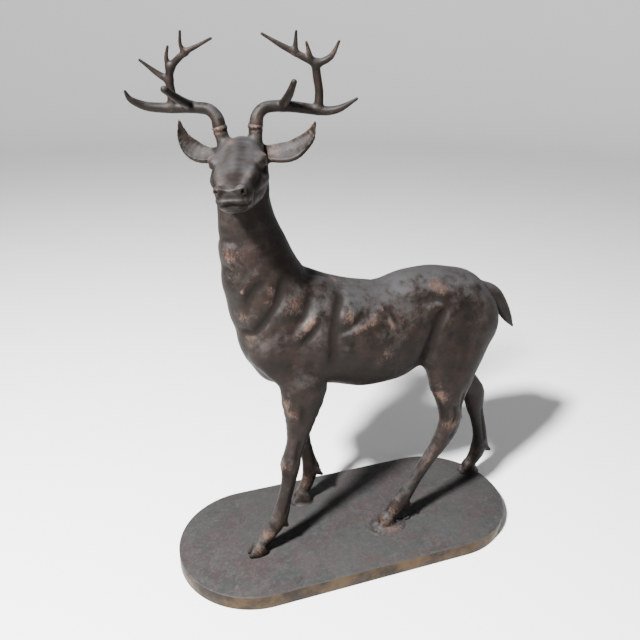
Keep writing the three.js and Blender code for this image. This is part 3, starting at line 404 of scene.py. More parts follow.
def build_legs(field):
    add = field.masses.append
    add(leg([(192, 74, 600), (203, 76, 502), (216, 76, 425), (229, 76, 376), (237, 75, 336), (241, 74, 284),
             (257, 73, 205), (280, 72, 122), (312, 71, 70)], FORE_THICKNESS))
    add(leg([(160, -92, 600), (140, -104, 520), (140, -114, 440), (140, -118, 385), (136, -121, 345),
             (130, -124, 292), (114, -127, 214), (102, -130, 134), (112, -134, 80)], FORE_THICKNESS))
    add(leg([(-325, 66, 570), (-321, 78, 500), (-323, 82, 450), (-327, 84, 402), (-320, 85, 362),
             (-292, 85, 305), (-262, 85, 258), (-208, 85, 172), (-160, 85, 96),
             (-132, 84, 56)], HIND_THICKNESS))
    add(leg([(-400, -94, 570), (-438, -97, 490), (-484, -99, 430), (-529, -100, 376), (-542, -100, 340),
             (-550, -100, 296), (-566, -101, 250), (-588, -101, 165), (-588, -102, 92), (-572, -102, 55)],
            HIND_THICKNESS, 3))
    field.masses += hoof((312, 71, 70), (347, 70, 0), 0.05, 0.88)
    field.masses += hoof((112, -134, 80), (128, -139, 0), -0.1)
    field.masses += hoof((-132, 84, 56), (-110, 83, 0), 0.1)
    field.masses += hoof((-572, -102, 55), (-556, -102, 0), 0, 0.92)
    # The points of the hocks, the fins behind the cannons and the dewclaws.
    add(Bar((-346, 85, 412), (-366, 85, 398), (15, 8), (20, 8), blend=10))
    add(Bar((-552, -100, 376), (-570, -100, 358), (16, 9), (20, 10), blend=10))
    for fin in [
        [(108, -128, 240, 12, 10), (97, -129, 192, 12, 14), (80, -130, 148, 11, 15), (70, -130, 128, 9, 8)],
        [(-580, -101, 244, 12, 12), (-598, -102, 170, 12, 17), (-614, -102, 112, 11, 18),
         (-629, -102, 84, 8, 7)],
        [(250, 72, 196, 11, 9), (256, 72, 152, 11, 13), (259, 72, 120, 9, 8)],
    ]:
        add(Chain(fin, blend=9))
    for x, y, z, dx, dz in [
        (268, 72, 128, -14, -26), (84, -130, 138, -24, -20), (-178, 85, 92, -18, -18),
        (-608, -102, 112, -28, -24),
    ]:
        for s in (-1, 1):
            add(Bar((x, y + s * 9, z), (x + dx, y + s * 11, z + dz), (10, 6), (12, 6.5), blend=8))


CARVING_DEPTH = 0.58
CARVING_WIDTH = 1.24

# Carving of the flanks: points (x, y, z) on the left side, height over the skin and width.
FLANK = [
    # The shoulder blade's two muscle bands, the grooves beside them and the triceps.
    ([(190, 60, 927), (217, 78, 897), (250, 87, 865), (290, 84, 832)], 11, 17),
    ([(150, 87, 852), (170, 91, 828), (193, 97, 802), (223, 96, 784), (243, 93, 779)], 13, 11),
    ([(163, 60, 908), (180, 74, 879), (195, 83, 847), (221, 89, 815)], -10, 11),
    ([(144, 96, 836), (172, 106, 803), (196, 107, 775), (213, 104, 751)], -14, 12),
    ([(68, 47, 899), (94, 86, 848), (110, 101, 798), (115, 107, 737), (114, 98, 679)], -16, 15),
    ([(148, 110, 765), (134, 104, 700)], 9, 20),
    ([(186, 104, 716), (178, 100, 668)], -7, 14),
    # Ribs, the bulge behind the shoulder and the hollow under it.
    ([(64, 99, 836), (56, 102, 822)], 12, 24),
    ([(94, 108, 806), (82, 112, 794), (60, 114, 797), (30, 102, 818), (16, 88, 841)], -12, 10),
    ([(93, 111, 768), (57, 117, 785), (24, 112, 794), (-18, 103, 810), (-32, 91, 826)], 11, 12),
    ([(-34, 74, 850), (-55, 82, 836), (-69, 98, 808), (-93, 110, 766)], 10, 10),
    ([(-76, 84, 836), (-86, 92, 814), (-104, 104, 778)], -9, 9),
    ([(-98, 78, 834), (-110, 90, 812), (-124, 104, 774)], 8, 9),
    ([(-124, 84, 822), (-138, 98, 790)], -5, 10),
    ([(-128, 90, 806), (-150, 104, 766)], 5, 11),
    ([(65, 116, 750), (38, 119, 742)], -8, 12),
    ([(82, 110, 728), (62, 116, 716)], 4, 14),
    # The loin's edge, the fold of the flank and the hollow under it.
    ([(-111, 58, 862), (-170, 62, 875), (-234, 63, 881), (-273, 69, 875)], 9, 18),
    ([(-136, 76, 846), (-179, 81, 847), (-218, 85, 847), (-281, 87, 846), (-318, 89, 838)], -8, 14),
    ([(-196, 94, 808), (-219, 94, 824), (-266, 95, 826)], 12, 10),
    ([(-226, 94, 792), (-214, 96, 764)], -8, 15),
    # The groove in front of the thigh, the hip's ridge and the thigh's own muscles.
    ([(-262, 97, 822), (-247, 95, 786), (-235, 99, 755), (-220, 90, 694), (-211, 73, 634)], -28, 14),
    ([(-317, 93, 828), (-295, 99, 808), (-277, 97, 783), (-258, 105, 748), (-242, 99, 691)], 10, 16),
    ([(-352, 93, 816), (-343, 101, 775), (-323, 104, 745)], -8, 16),
    ([(-310, 102, 741), (-270, 105, 719)], -7, 9),
    ([(-350, 104, 700), (-338, 106, 640), (-318, 106, 580)], -5, 15),
    ([(-400, 98, 780), (-412, 98, 700), (-390, 100, 620)], 5, 20),
]

# Carving of the neck and throat, on the left and in the middle.
NECK = [
    ([(401, 31, 1038)], 13, 22),
    ([(408, -4, 1066), (392, 36, 1074), (372, 52, 1082)], -9, 10),
    ([(408, -8, 988), (394, 34, 990), (376, 50, 996)], -7, 12),
    ([(380, 50, 1042), (372, 55, 1016), (352, 64, 1000)], -6, 7),
    ([(320, 74, 992), (348, 65, 965), (364, 58, 944), (372, 52, 905)], 12, 10),
    ([(300, 80, 968), (334, 72, 938), (352, 62, 905), (352, 60, 880)], -13, 12),
    ([(300, 84, 930), (318, 76, 880)], 6, 18),
    ([(240, 66, 972), (254, 75, 952), (276, 84, 892), (302, 81, 851), (334, 57, 795), (368, 20, 800)],
     -14, 12),
    ([(350, 33, 768), (319, 68, 796), (288, 84, 823)], 9, 10),
    ([(372, -14, 760), (352, -14, 690)], -8, 13),
    ([(348, 26, 740), (322, 34, 680)], 6, 20),
]


def mirrored(points):
    return [(x, 2 * MIDLINE - y, z) for x, y, z in points]


def build_feet(field):
    """The rough weld round the left hind hoof, ripples on its pastern and the right hooves' pads."""
    spot = vec(-112, 84, 0)
    field.masses.append(Egg(spot + vec(2, 4, -2), (74, 50, 9), None, 12))
    for lap, out in enumerate((36, 46, 57, 67)):
        turns = [2 * math.pi * i / 28 for i in range(29)]
        wander = [out + 3 * math.sin(5 * t + lap) + 2 * math.sin(11 * t + 2 * lap) for t in turns]
        ring = [spot + vec(math.cos(t) * w, math.sin(t) * w * 0.68, 5) for t, w in zip(turns, wander)]
        field.carve(ring, 2.8, 3.6)
    for i in range(16):
        t = 2 * math.pi * i / 16
        out = 38 + (i * 7) % 24
        centre = spot + vec(math.cos(t) * out, math.sin(t) * out * 0.68, 5)
        field.masses.append(Egg(centre, (7 + (i * 3) % 4, 4 + (i * 7) % 3, 4), None, 4))
    field.masses.append(Egg(spot + vec(-82, -10, 3), (16, 11, 9), None, 6))
    for i in range(9):
        at = vec(-104, 84, 26) + i * vec(-6.5, 0.2, 9.5)
        turns = np.linspace(0, 2 * math.pi, 13)
        ring = [at + vec(24 * math.cos(a), 24 * math.sin(a), 10 * math.cos(a)) for a in turns]
        field.carve(ring, 2.2, 3.4)
    field.masses.append(Egg((126, -137, -2), (44, 36, 6), None, 12))
    field.masses.append(Egg((-560, -102, -2), (42, 34, 6), None, 12))


def build_relief(field):
    """Muscle, skin folds and ribs of both sides, hair strokes on the throat, tendons, and the
    muscle edges of the left legs."""
    for points, height, width in FLANK + NECK:
        field.carve(points, height * CARVING_DEPTH, width * CARVING_WIDTH)
        if max(y for _, y, _ in points) > MIDLINE + 20:
            field.carve(mirrored(points), height * CARVING_DEPTH, width * CARVING_WIDTH)
    for i in range(9):
        x, z = 402 - 8 * (i % 3), 1030 - 9 * i
        for side in (-1, 1):
            y = MIDLINE + side * (34 + 5 * (i % 4))
            stroke = [(x, y, z), (x - 13, y + side * 11, z - 13)]
            field.carve(stroke, 4 if i % 2 else -4, 4)
    tendons = [
        [(222, 96, 300), (238, 94, 220), (262, 92, 150)], [(222, 54, 300), (238, 54, 220), (262, 54, 150)],
        [(-288, 104, 258), (-232, 104, 168), (-186, 104, 108)],
        [(-288, 66, 258), (-232, 66, 168), (-186, 66, 108)],
        [(112, -106, 296), (96, -108, 220), (86, -112, 158)],
        [(-566, -82, 300), (-586, -82, 220), (-602, -84, 140)],
    ]
    for points in tendons:
        field.carve(points, -6, 6)
    for points, height, width in [
        ([(252, 96, 580), (240, 104, 530), (232, 102, 470)], 4, 12),
        ([(206, 108, 570), (206, 106, 500)], -5, 10),
        ([(264, 78, 352), (262, 80, 330)], 4, 12),
        ([(-272, 108, 500), (-292, 112, 440)], 4, 14),
        ([(-352, 106, 520), (-348, 104, 440)], -5, 11),
        ([(-318, 112, 392), (-300, 112, 350)], 4, 12),
        ([(-330, 106, 372), (-316, 108, 330)], -5, 9),
        ([(228, 104, 452), (238, 102, 400), (240, 100, 350)], 4, 8),
        ([(214, 104, 440), (222, 104, 390), (226, 100, 350)], -5, 7),
        ([(250, 92, 372), (256, 88, 352), (252, 92, 334)], 4, 6),
        ([(-300, 112, 470), (-312, 114, 420), (-300, 112, 372)], 4, 7),
        ([(-318, 112, 470), (-330, 112, 424), (-322, 112, 392)], -5, 6),
        ([(-262, 106, 290), (-222, 106, 222), (-186, 106, 160)], 4, 7),
    ]:
        field.carve(points, height, width)


# The head's own axes: ahead along the muzzle, out to its left, and up.
HEAD_TURN, HEAD_DROP, HEAD_TILT = (math.radians(a) for a in (70, -5, 4))
HEAD_CENTRE = vec(338, -10, 1278)
LEVEL_AHEAD = vec(math.cos(HEAD_TURN), math.sin(HEAD_TURN), 0)
AHEAD = LEVEL_AHEAD * math.cos(HEAD_DROP) + vec(0, 0, math.sin(HEAD_DROP))
LEVEL = vec(-math.sin(HEAD_TURN), math.cos(HEAD_TURN), 0)
UPRIGHT = np.cross(AHEAD, LEVEL)
OUT = LEVEL * math.cos(HEAD_TILT) + UPRIGHT * math.sin(HEAD_TILT)
UP = UPRIGHT * math.cos(HEAD_TILT) - LEVEL * math.sin(HEAD_TILT)
HEAD_AXES = (AHEAD, OUT, UP)


def turned(f, l, t):
    return AHEAD * f + OUT * l + UP * t


def in_head(f, l, t):
    return HEAD_CENTRE + turned(f, l, t)


def head_limb(stations, blend):
    return limb([(*in_head(f, l, t), wide, deep) for f, l, t, wide, deep in stations], OUT, blend)


def circle(centre, half, start=0.0, end=360.0, steps=12):
    """Points on a ring or an arc in the plane across the muzzle, 0 degrees to the left, 90 up."""
    turns = [math.radians(start + (end - start) * i / steps) for i in range(steps + 1)]
    return [centre + OUT * half * math.cos(t) + UP * half * math.sin(t) for t in turns]


# Carving of each side of the face in the head's axes: points, height over the skin and width.
FACE = [
    # The eye: socket, lids and the slit between them.
    ([(112, 50, 0), (96, 60, -4), (66, 68, 0)], -9, 11),
    ([(106, 54, 7), (92, 66, 12), (72, 70, 8)], 3.5, 4),
    ([(106, 54, -3), (92, 68, -8), (72, 70, -4)], 3.5, 3.6),
    ([(106, 56, 2), (90, 70, 1), (74, 72, 2)], -4.5, 3),
    # Brow, the tear groove, the cheekbone and the jaw's edge.
    ([(100, 54, 22), (80, 68, 28), (58, 66, 26)], 6, 9),
    ([(116, 50, -6), (138, 46, -14), (158, 42, -20)], -5, 7),
    ([(130, 52, -30), (100, 68, -26), (60, 72, -28)], 4, 11),
    ([(190, 42, -34), (160, 54, -42), (120, 62, -54)], -4, 11),
    ([(20, 62, -96), (-8, 66, -60), (-16, 66, -20)], 6, 10),
    # The edge and planes of the muzzle, and the shallow dip of the forehead.
    ([(116, 42, 14), (165, 36, 4), (222, 27, -2)], 3.5, 8),
    ([(128, 50, -14), (165, 44, -18), (205, 38, -20)], -5.5, 12),
    ([(150, 12, 22), (190, 8, 10), (225, 6, 4)], -2.5, 12),
    ([(40, 16, 62), (80, 20, 48), (120, 22, 24)], -1.5, 14),
]

# Carving across the middle of the face: the nose's rim and groove, the mouth and both lips.
MOUTH = [
    ([(250, -30, 1), (256, -16, 6), (260, -2, 9), (258, 14, 6), (252, 27, 1)], 4, 4.2),
    ([(262, -2, -8), (264, -2, -26)], -2.5, 12),
    ([(205, -47, -50), (232, -38, -45), (250, -22, -39), (256, -2, -37), (252, 20, -39), (232, 40, -46),
      (202, 48, -54)], -10, 4.4),
    ([(236, -36, -36), (254, -20, -31), (260, -2, -30), (254, 18, -31), (236, 38, -37)], 4, 6),
    ([(226, -34, -54), (244, -14, -50), (246, 0, -50), (244, 12, -50), (226, 34, -56)], 4, 6),
]


def build_head(field):
    add = field.masses.append
    field.masses += head_limb([(-20, 0, -9, 60, 68), (30, 0, -4, 67, 65), (78, 0, -8, 68, 54),
                               (130, 0, -19, 59, 44), (190, 0, -25, 46, 32), (228, 0, -25, 37, 27)], 18)
    field.masses += head_limb([(10, 0, -62, 52, 46), (90, 0, -60, 54, 38), (165, 0, -55, 44, 28),
                               (218, 0, -51, 36, 18)], 12)
    for s in (-1, 1):
        add(Egg(in_head(66, s * 40, -34), (56, 31, 40), HEAD_AXES, 18))
        add(Egg(in_head(74, s * 57, 20), (28, 16, 14), HEAD_AXES, 16))
        add(Egg(in_head(226, s * 20, -34), (26, 20, 14), HEAD_AXES, 10))
        add(Egg(in_head(238, s * 27 - 2, -6), (16, 12, 12), HEAD_AXES, 8))
        add(Egg(in_head(86, s * 57, 4), (19, 11, 12), HEAD_AXES, 5))
        # The pedicle, with a short straight stretch under the antler's joint.
        add(Bar(in_head(-2, s * 40, 36), in_head(-12, s * 48 - 3, 90), (19, 17), (19, 17), AHEAD, 16))
        add(Bar(in_head(-11, s * 47 - 3, 80), in_head(-13, s * 48 - 3, 91), (19, 18.5), (19, 18.5), AHEAD, 5))
        # The nostril's hole, opening forwards and out, with its rim.
        nostril = in_head(252, s * 31 - 2, -6)
        inner = in_head(236, s * 22 - 2, -6)
        field.hollows.append(Bar(nostril + OUT * s * 4, inner, (5.5, 3), (6.5, 4), AHEAD, 3))
        field.carve(circle(nostril, 9.5, 90 - s * 130, 90 + s * 80), 2.2, 3.4)
        for points, height, width in FACE:
            field.carve([in_head(f, s * l, t) for f, l, t in points], height, width)
        # Rings round the pedicle under the antler's joint.
        top, way = joint(s)
        for drop, height in ((4, 2.4), (10, -1.6)):
            centre = top - way * drop
            turns = np.linspace(0, 2 * math.pi, 13)
            field.carve([centre + 19 * (AHEAD * math.cos(a) + OUT * math.sin(a)) for a in turns], height, 4)
    for points, height, width in MOUTH:
        field.carve([in_head(*p) for p in points], height, width)


EARS = [
    [(-4, 56, 11, 22), (-4, 84, 13, 27), (-4, 108, 14, 32), (-4, 132, 17, 32), (-5, 156, 31, 27),
     (-7, 181, 51, 18), (-9, 200, 84, 4)],
    [(-4, -60, 17, 22), (-7, -88, 18, 24), (-8, -111, 24, 28), (-8, -131, 41, 26), (-9, -146, 66, 18),
     (-10, -152, 92, 9), (-11, -152, 112, 3)],
]


def build_ears(field):
    """Leaf-shaped ears through (ahead, out, up, half width), hollowed from above and in front,
    so that the lower rim stands out and its dark back shows under the pale inside."""
    face = turned(0.6, 0.0, 0.8)
    for leaf in EARS:
        root, tip = in_head(-4, leaf[0][1] * 0.7, 16), in_head(-3, leaf[1][1], 19)
        field.masses.append(Bar(root, tip, (20, 16), (20, 18), UP, 14))
        blade = [(*in_head(f, l, t), 13 if w > 10 else 8, w) for f, l, t, w in leaf]
        field.masses.append(Chain(blade, face, 12))
        inside = [(*(in_head(f, l, t) + face * 17), 15 if w > 10 else 9, max(w - 1, 1))
                  for f, l, t, w in leaf[1:]]
        field.hollows.append(Chain(inside, face, 3))


# Antler tines as points (ahead, left, up, radius) in the head's axes.
ANTLERS = {
    "right": [
        [(-12, -49, 74, 16), (-13, -51, 92, 16.5), (-18, -55, 112, 15), (-26, -73, 131, 14),
         (-34, -100, 136, 13.5), (-40, -133, 138, 13), (-42, -181, 139, 12), (-36, -231, 146, 10.5),
         (-28, -258, 158, 8.5), (-20, -274, 172, 6), (-13, -280, 191, 3.5)],
        [(-40, -123, 142, 11), (10, -137, 165, 9.5), (75, -157, 203, 7.5)],
        [(-42, -172, 142, 11), (-44, -169, 177, 9.5), (-42, -169, 207, 9), (-36, -159, 239, 8)],
        [(-42, -169, 208, 8), (-40, -192, 223, 6.5), (-29, -233, 262, 3)],
        [(-37, -163, 234, 7), (-32, -165, 263, 5), (-27, -156, 289, 3)],
        [(-36, -159, 239, 8), (-32, -138, 257, 7), (-26, -111, 275, 6), (-20, -85, 285, 5),
         (-8, -42, 303, 3)],
        [(-27, -115, 272, 6), (-20, -122, 292, 4.2), (-15, -117, 323, 2.8)],
    ],
    "left": [
        [(-12, 46, 78, 16), (-13, 47, 94, 16.5), (-18, 53, 113, 15), (-26, 70, 127, 14),
         (-34, 96, 129, 13.5), (-40, 134, 125, 13), (-42, 173, 118, 12.5), (-42, 207, 111, 11.5),
         (-38, 238, 108, 10), (-30, 270, 115, 7.5), (-16, 311, 138, 3.5)],
        [(-38, 117, 128, 11), (5, 140, 162, 9), (45, 157, 197, 6)],
        [(-42, 210, 114, 11), (-44, 215, 155, 9.5), (-42, 212, 192, 9.5), (-36, 210, 229, 9)],
        [(-36, 210, 227, 8.5), (-32, 194, 236, 7.5), (-26, 163, 255, 7), (-18, 130, 275, 5.5),
         (-7, 84, 306, 3)],
        [(-26, 161, 258, 6), (-17, 168, 306, 2.8)],
        [(-31, 198, 241, 6), (-22, 191, 279, 3)],
        [(-34, 214, 225, 8), (-30, 250, 241, 6), (-20, 272, 276, 3)],
    ],
}


def joint(side):
    """The flat joint between a pedicle and its antler: a point and the way it faces."""
    return in_head(-13, side * 48.5 - 3, 90), unit(turned(-3, 5 * side, 20))


def build_antler(side):
    """The antler's tines, a little stouter than drawn."""
    field = Field()
    for tine in ANTLERS["left" if side > 0 else "right"]:
        stout = [(*in_head(f, l, t), r + (1.6 if r > 5 else 0.4)) for f, l, t, r in tine]
        field.masses.append(Chain([(*place, r, r) for *place, r in stout], blend=8))
    return field


# Meshes.

def clear_edit():
    if bpy.context.object and bpy.context.object.mode != "OBJECT":
        bpy.ops.object.mode_set(mode="OBJECT")
    bpy.ops.object.select_all(action="DESELECT")


def piece_from(name, points, faces):
    """A new smooth mesh object from points in millimetres over the plate's top."""
    mesh = bpy.data.meshes.new(name)
    mesh.vertices.add(len(points))
    mesh.vertices.foreach_set("co", (np.asarray(points) * MM).astype(np.float32).ravel())
    mesh.loops.add(faces.size)
    mesh.loops.foreach_set("vertex_index", faces.ravel().astype(np.int32))
    mesh.polygons.add(len(faces))
    mesh.polygons.foreach_set("loop_start", np.arange(0, faces.size, 4, dtype=np.int32))
    mesh.update(calc_edges=True)
    mesh.validate()
    obj = bpy.data.objects.new(name, mesh)
    bpy.context.collection.objects.link(obj)
    return obj


def points_of(obj):
    flat = np.empty(len(obj.data.vertices) * 3, np.float32)
    obj.data.vertices.foreach_get("co", flat)
    return flat.reshape(-1, 3).astype(float) / MM


def set_points(obj, points):
    obj.data.vertices.foreach_set("co", (points * MM).astype(np.float32).ravel())
    obj.data.update()


def finish_piece(obj, material, slot, *nodes):
    obj.data.materials.clear()
    obj.data.materials.append(material)
    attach(obj, "root")
    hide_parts(*nodes)


def cut_flat(obj, at, way):
    """Cut the piece with a plane through `at` and close it; `way` points to what goes."""
    clear_edit()
    obj.select_set(True)
    bpy.context.view_layer.objects.active = obj
    bpy.ops.object.mode_set(mode="EDIT")
    bpy.ops.mesh.select_all(action="SELECT")
    bpy.ops.mesh.bisect(plane_co=Vector(at * MM), plane_no=Vector(way), use_fill=True, clear_outer=True)
    bpy.ops.object.mode_set(mode="OBJECT")


# Where the bronze is rubbed to copper: (x, y, z), radius and strength.
RUBBED = [
    ((-273, 101, 505), 24, 1.0), ((-262, 104, 540), 14, 0.7), ((-68, 114, 698), 26, 0.6),
    ((-39, 114, 675), 30, 0.5), ((-243, 60, 885), 26, 0.9), ((-262, 72, 870), 24, 0.9),
    ((-340, 63, 876), 16, 0.5), ((288, 82, 928), 20, 0.8), ((294, 82, 896), 22, 0.6),
    ((367, 43, 848), 34, 0.5), ((344, 45, 772), 30, 0.7), ((85, 8, 921), 28, 0.7),
    ((-441, 85, 691), 30, 0.4), ((-429, 90, 644), 34, 0.35), ((322, 83, 84), 30, 1.0),
    ((352, 92, 34), 24, 0.7), ((-125, 93, 84), 50, 0.45), ((-91, 98, 30), 40, 0.6),
    ((-120, 118, 6), 34, 0.8), ((126, -125, 101), 34, 0.7), ((131, -122, 50), 34, 0.5),
    ((-536, -90, 41), 34, 0.5), ((-569, -84, 104), 30, 0.35), ((-122, 109, 735), 24, 0.35),
    ((182, 92, 821), 30, 0.8), ((207, 77, 880), 40, 0.6), ((384, 48, 1018), 40, 0.55),
    ((251, 93, 570), 22, 0.8), ((239, 102, 539), 26, 0.7), ((266, 76, 347), 28, 0.8),
    ((-319, 108, 391), 34, 0.5), ((-253, 100, 276), 40, 0.4), ((-24, 98, 815), 34, 0.6),
    ((-95, 104, 790), 30, 0.5), ((-610, -15, 660), 30, 0.4), ((306, 13, 638), 34, 0.3),
    ((64, 100, 836), 26, 0.4), ((24, 106, 800), 26, 0.4), ((280, 74, 130), 40, 0.4),
    ((148, -110, 470), 40, 0.3),
]
HEAD_RUBBED = [
    ((70, -66, 26), 22, 1.0), ((70, 66, 26), 22, 0.9), ((30, -14, 60), 26, 0.5), ((200, 4, 4), 40, 0.55),
    ((254, 0, 8), 20, 0.55), ((252, 38, -6), 12, 0.7), ((250, -38, -8), 12, 0.6), ((240, 10, -38), 30, 0.3),
    ((-12, 45, 80), 24, 1.0), ((-12, -51, 80), 24, 1.0), ((0, 86, 16), 24, 0.7), ((-4, 132, 26), 24, 0.4),
    ((-10, 176, 62), 26, 0.4), ((0, -104, 26), 24, 0.5), ((-20, -146, 70), 26, 0.3),
    ((120, 40, 0), 40, 0.3), ((130, 30, 12), 16, 0.5), ((44, -20, 56), 16, 1.0), ((176, -24, 4), 20, 0.8),
    ((160, -44, -8), 18, 0.8), ((170, 34, 2), 18, 0.7), ((-20, 160, 262), 34, 0.5),
    ((-16, 110, 290), 34, 0.5), ((-24, 190, 262), 30, 0.5), ((-26, 258, 252), 34, 0.5),
    ((-26, -111, 275), 30, 0.5), ((-20, -60, 294), 30, 0.5), ((-36, -200, 236), 34, 0.45),
    ((-30, -160, 268), 24, 0.5), ((-14, 52, 104), 26, 0.7), ((-40, -200, 140), 50, 0.3),
    ((-40, 240, 108), 50, 0.3), ((30, 150, 184), 30, 0.3),
]
# Painted shade, where the face is painted darker down the forehead and nose, in the eye sockets, under the
# cheeks and round the nose and mouth: (ahead, left, up) in the head's axes, radius and strength.
HEAD_PAINTED_SHADE = [((36 + 17 * i, 5 + i, 62 - 6 * i), 20, 0.75) for i in range(9)] + [
    ((260, -2, -16), 17, 1.0), ((252, 30, -24), 14, 0.8), ((250, -30, -24), 14, 0.8),
    ((150, 46, -8), 26, 0.8), ((96, 66, -2), 18, 0.9), ((96, -66, -2), 18, 0.9), ((220, 40, -22), 20, 0.8),
    ((20, 60, 40), 26, 0.7), ((20, -60, 36), 24, 0.6), ((230, 0, -62), 20, 0.5), ((205, 20, 4), 34, 0.7),
    ((215, -20, 2), 24, 0.5), ((245, 0, -28), 34, 0.7), ((235, 20, -50), 30, 0.6),
    ((120, -30, 20), 24, 0.5), ((60, 74, -40), 50, 0.6), ((160, 52, -50), 40, 0.6),
    ((130, 0, 10), 120, 0.4), ((250, 0, -24), 36, 0.9), ((252, 0, -48), 30, 0.5),
]
# Painted shade, where the body is painted darker: the neck behind the jaw under the head's shadow, the
# breast, the belly, thighs and forearm.
BODY_PAINTED_SHADE = [
    ((256, 44, 1010), 50, 0.75), ((248, 60, 960), 46, 0.75), ((262, 30, 1080), 50, 0.6),
    ((300, 60, 690), 60, 0.6), ((250, 96, 650), 60, 0.5), ((330, 30, 700), 50, 0.4),
    ((20, 112, 650), 70, 0.55), ((-70, 108, 650), 70, 0.55), ((-150, 100, 690), 60, 0.45),
    ((-380, 104, 700), 70, 0.4), ((-440, 80, 640), 60, 0.4), ((215, 104, 520), 50, 0.4),
    ((225, 100, 420), 50, 0.4), ((350, 44, 890), 30, 0.4),
]


def store(obj, name, values):
    layer = obj.data.attributes.new(name, "FLOAT", "POINT")
    layer.data.foreach_set("value", np.clip(values, 0, 1).astype(np.float32))


def cover(points, body, head):
    """How strongly each point lies under soft round spots on the body and the head."""
    most = np.zeros(len(points))
    for place, radius, strength in body + [(in_head(*p), r, k) for p, r, k in head]:
        near = ((points - vec(*place)) ** 2).sum(1)
        most = np.maximum(most, strength * np.exp(-near / radius ** 2))
    return most


def mark_relief_and_shade(obj, field, step, thickness=1.0):
    """Store how far each point stands out (above 0.5) or lies in a hollow, lowered where shade is painted,
    and where it is rubbed.
    """
    points = points_of(obj)
    total = np.zeros(len(points))
    for way in np.vstack([np.eye(3), -np.eye(3)]):
        total += field.at(points + way * step)
    bend = np.clip((total / 6 - field.at(points)) / step * thickness * 0.9, -0.4, 0.16)
    # Painted shade: the listed spots of painted shade on the body and face lower the relief, so the patina
    # darkens them towards its ground colour.
    dark = 0.27 * cover(points, BODY_PAINTED_SHADE, HEAD_PAINTED_SHADE)
    store(obj, "relief", 0.5 + field.relief(points) / 24 + bend - dark)
    store(obj, "wear", cover(points, RUBBED, HEAD_RUBBED))


def raise_up(obj):
    """Lift a piece from the plate's top to its place over the plate's underside."""
    obj.data.transform(Matrix.Translation((0, 0, STAG_LOW[2])))
    obj.data.update()


# Materials.

class Nodes:
    """Short calls that add shader nodes to one tree; each gives back the new node's output."""

    def __init__(self, tree):
        self.tree = tree

    def add(self, kind, **values):
        """Add a node and give back the node itself."""
        n = self.tree.nodes.new("ShaderNode" + kind)
        for key, value in values.items():
            setattr(n, key, value)
        return n

    def feed(self, value, socket):
        """Link another node's output to a socket, or set a constant on it."""
        if hasattr(value, "node"):
            self.tree.links.new(value, socket)
        else:
            socket.default_value = value

    def noise(self, at, scale, detail, roughness=0.55, stretch=None, swirl=0.0):
        if stretch:
            mapping = self.add("Mapping")
            mapping.inputs["Scale"].default_value = stretch
            self.feed(at, mapping.inputs["Vector"])
            at = mapping.outputs["Vector"]
        n = self.add("TexNoise")
        for label, value in (("Vector", at), ("Scale", scale), ("Detail", detail), ("Roughness", roughness),
                             ("Distortion", swirl)):
            self.feed(value, n.inputs[label])
        return n.outputs["Fac"]

    def ramp(self, source, low, high, out_low=0.0, out_high=1.0):
        n = self.add("MapRange", interpolation_type="SMOOTHSTEP")
        for label, value in (("Value", source), ("From Min", low), ("From Max", high), ("To Min", out_low),
                             ("To Max", out_high)):
            self.feed(value, n.inputs[label])
        return n.outputs["Result"]

    def maths(self, operation, a, b):
        n = self.add("Math", operation=operation)
        self.feed(a, n.inputs[0])
        self.feed(b, n.inputs[1])
        return n.outputs[0]

    def times(self, a, b):
        return self.maths("MULTIPLY", a, b)

    def total(self, *parts):
        """The sum of outputs, each times its weight."""
        products = [self.times(*part) for part in parts]
        result = products[0]
        for product in products[1:]:
            result = self.maths("ADD", result, product)
        return result

    def mix(self, factor, a, b):
        n = self.add("Mix", data_type="RGBA")
        for i, value in ((0, factor), (6, a), (7, b)):
            self.feed(value, n.inputs[i])
        return n.outputs[2]


def group_with(name, inputs, outputs):
    tree = bpy.data.node_groups.new(name, "ShaderNodeTree")
    for label, kind, default in inputs:
        socket = tree.interface.new_socket(name=label, in_out="INPUT", socket_type="NodeSocket" + kind)
        socket.default_value = default
    for label, kind in outputs:
        tree.interface.new_socket(name=label, in_out="OUTPUT", socket_type="NodeSocket" + kind)
    return Nodes(tree), tree.nodes.new("NodeGroupInput").outputs, tree.nodes.new("NodeGroupOutput").inputs


def colour(values):
    return (*values[:3], 1.0)


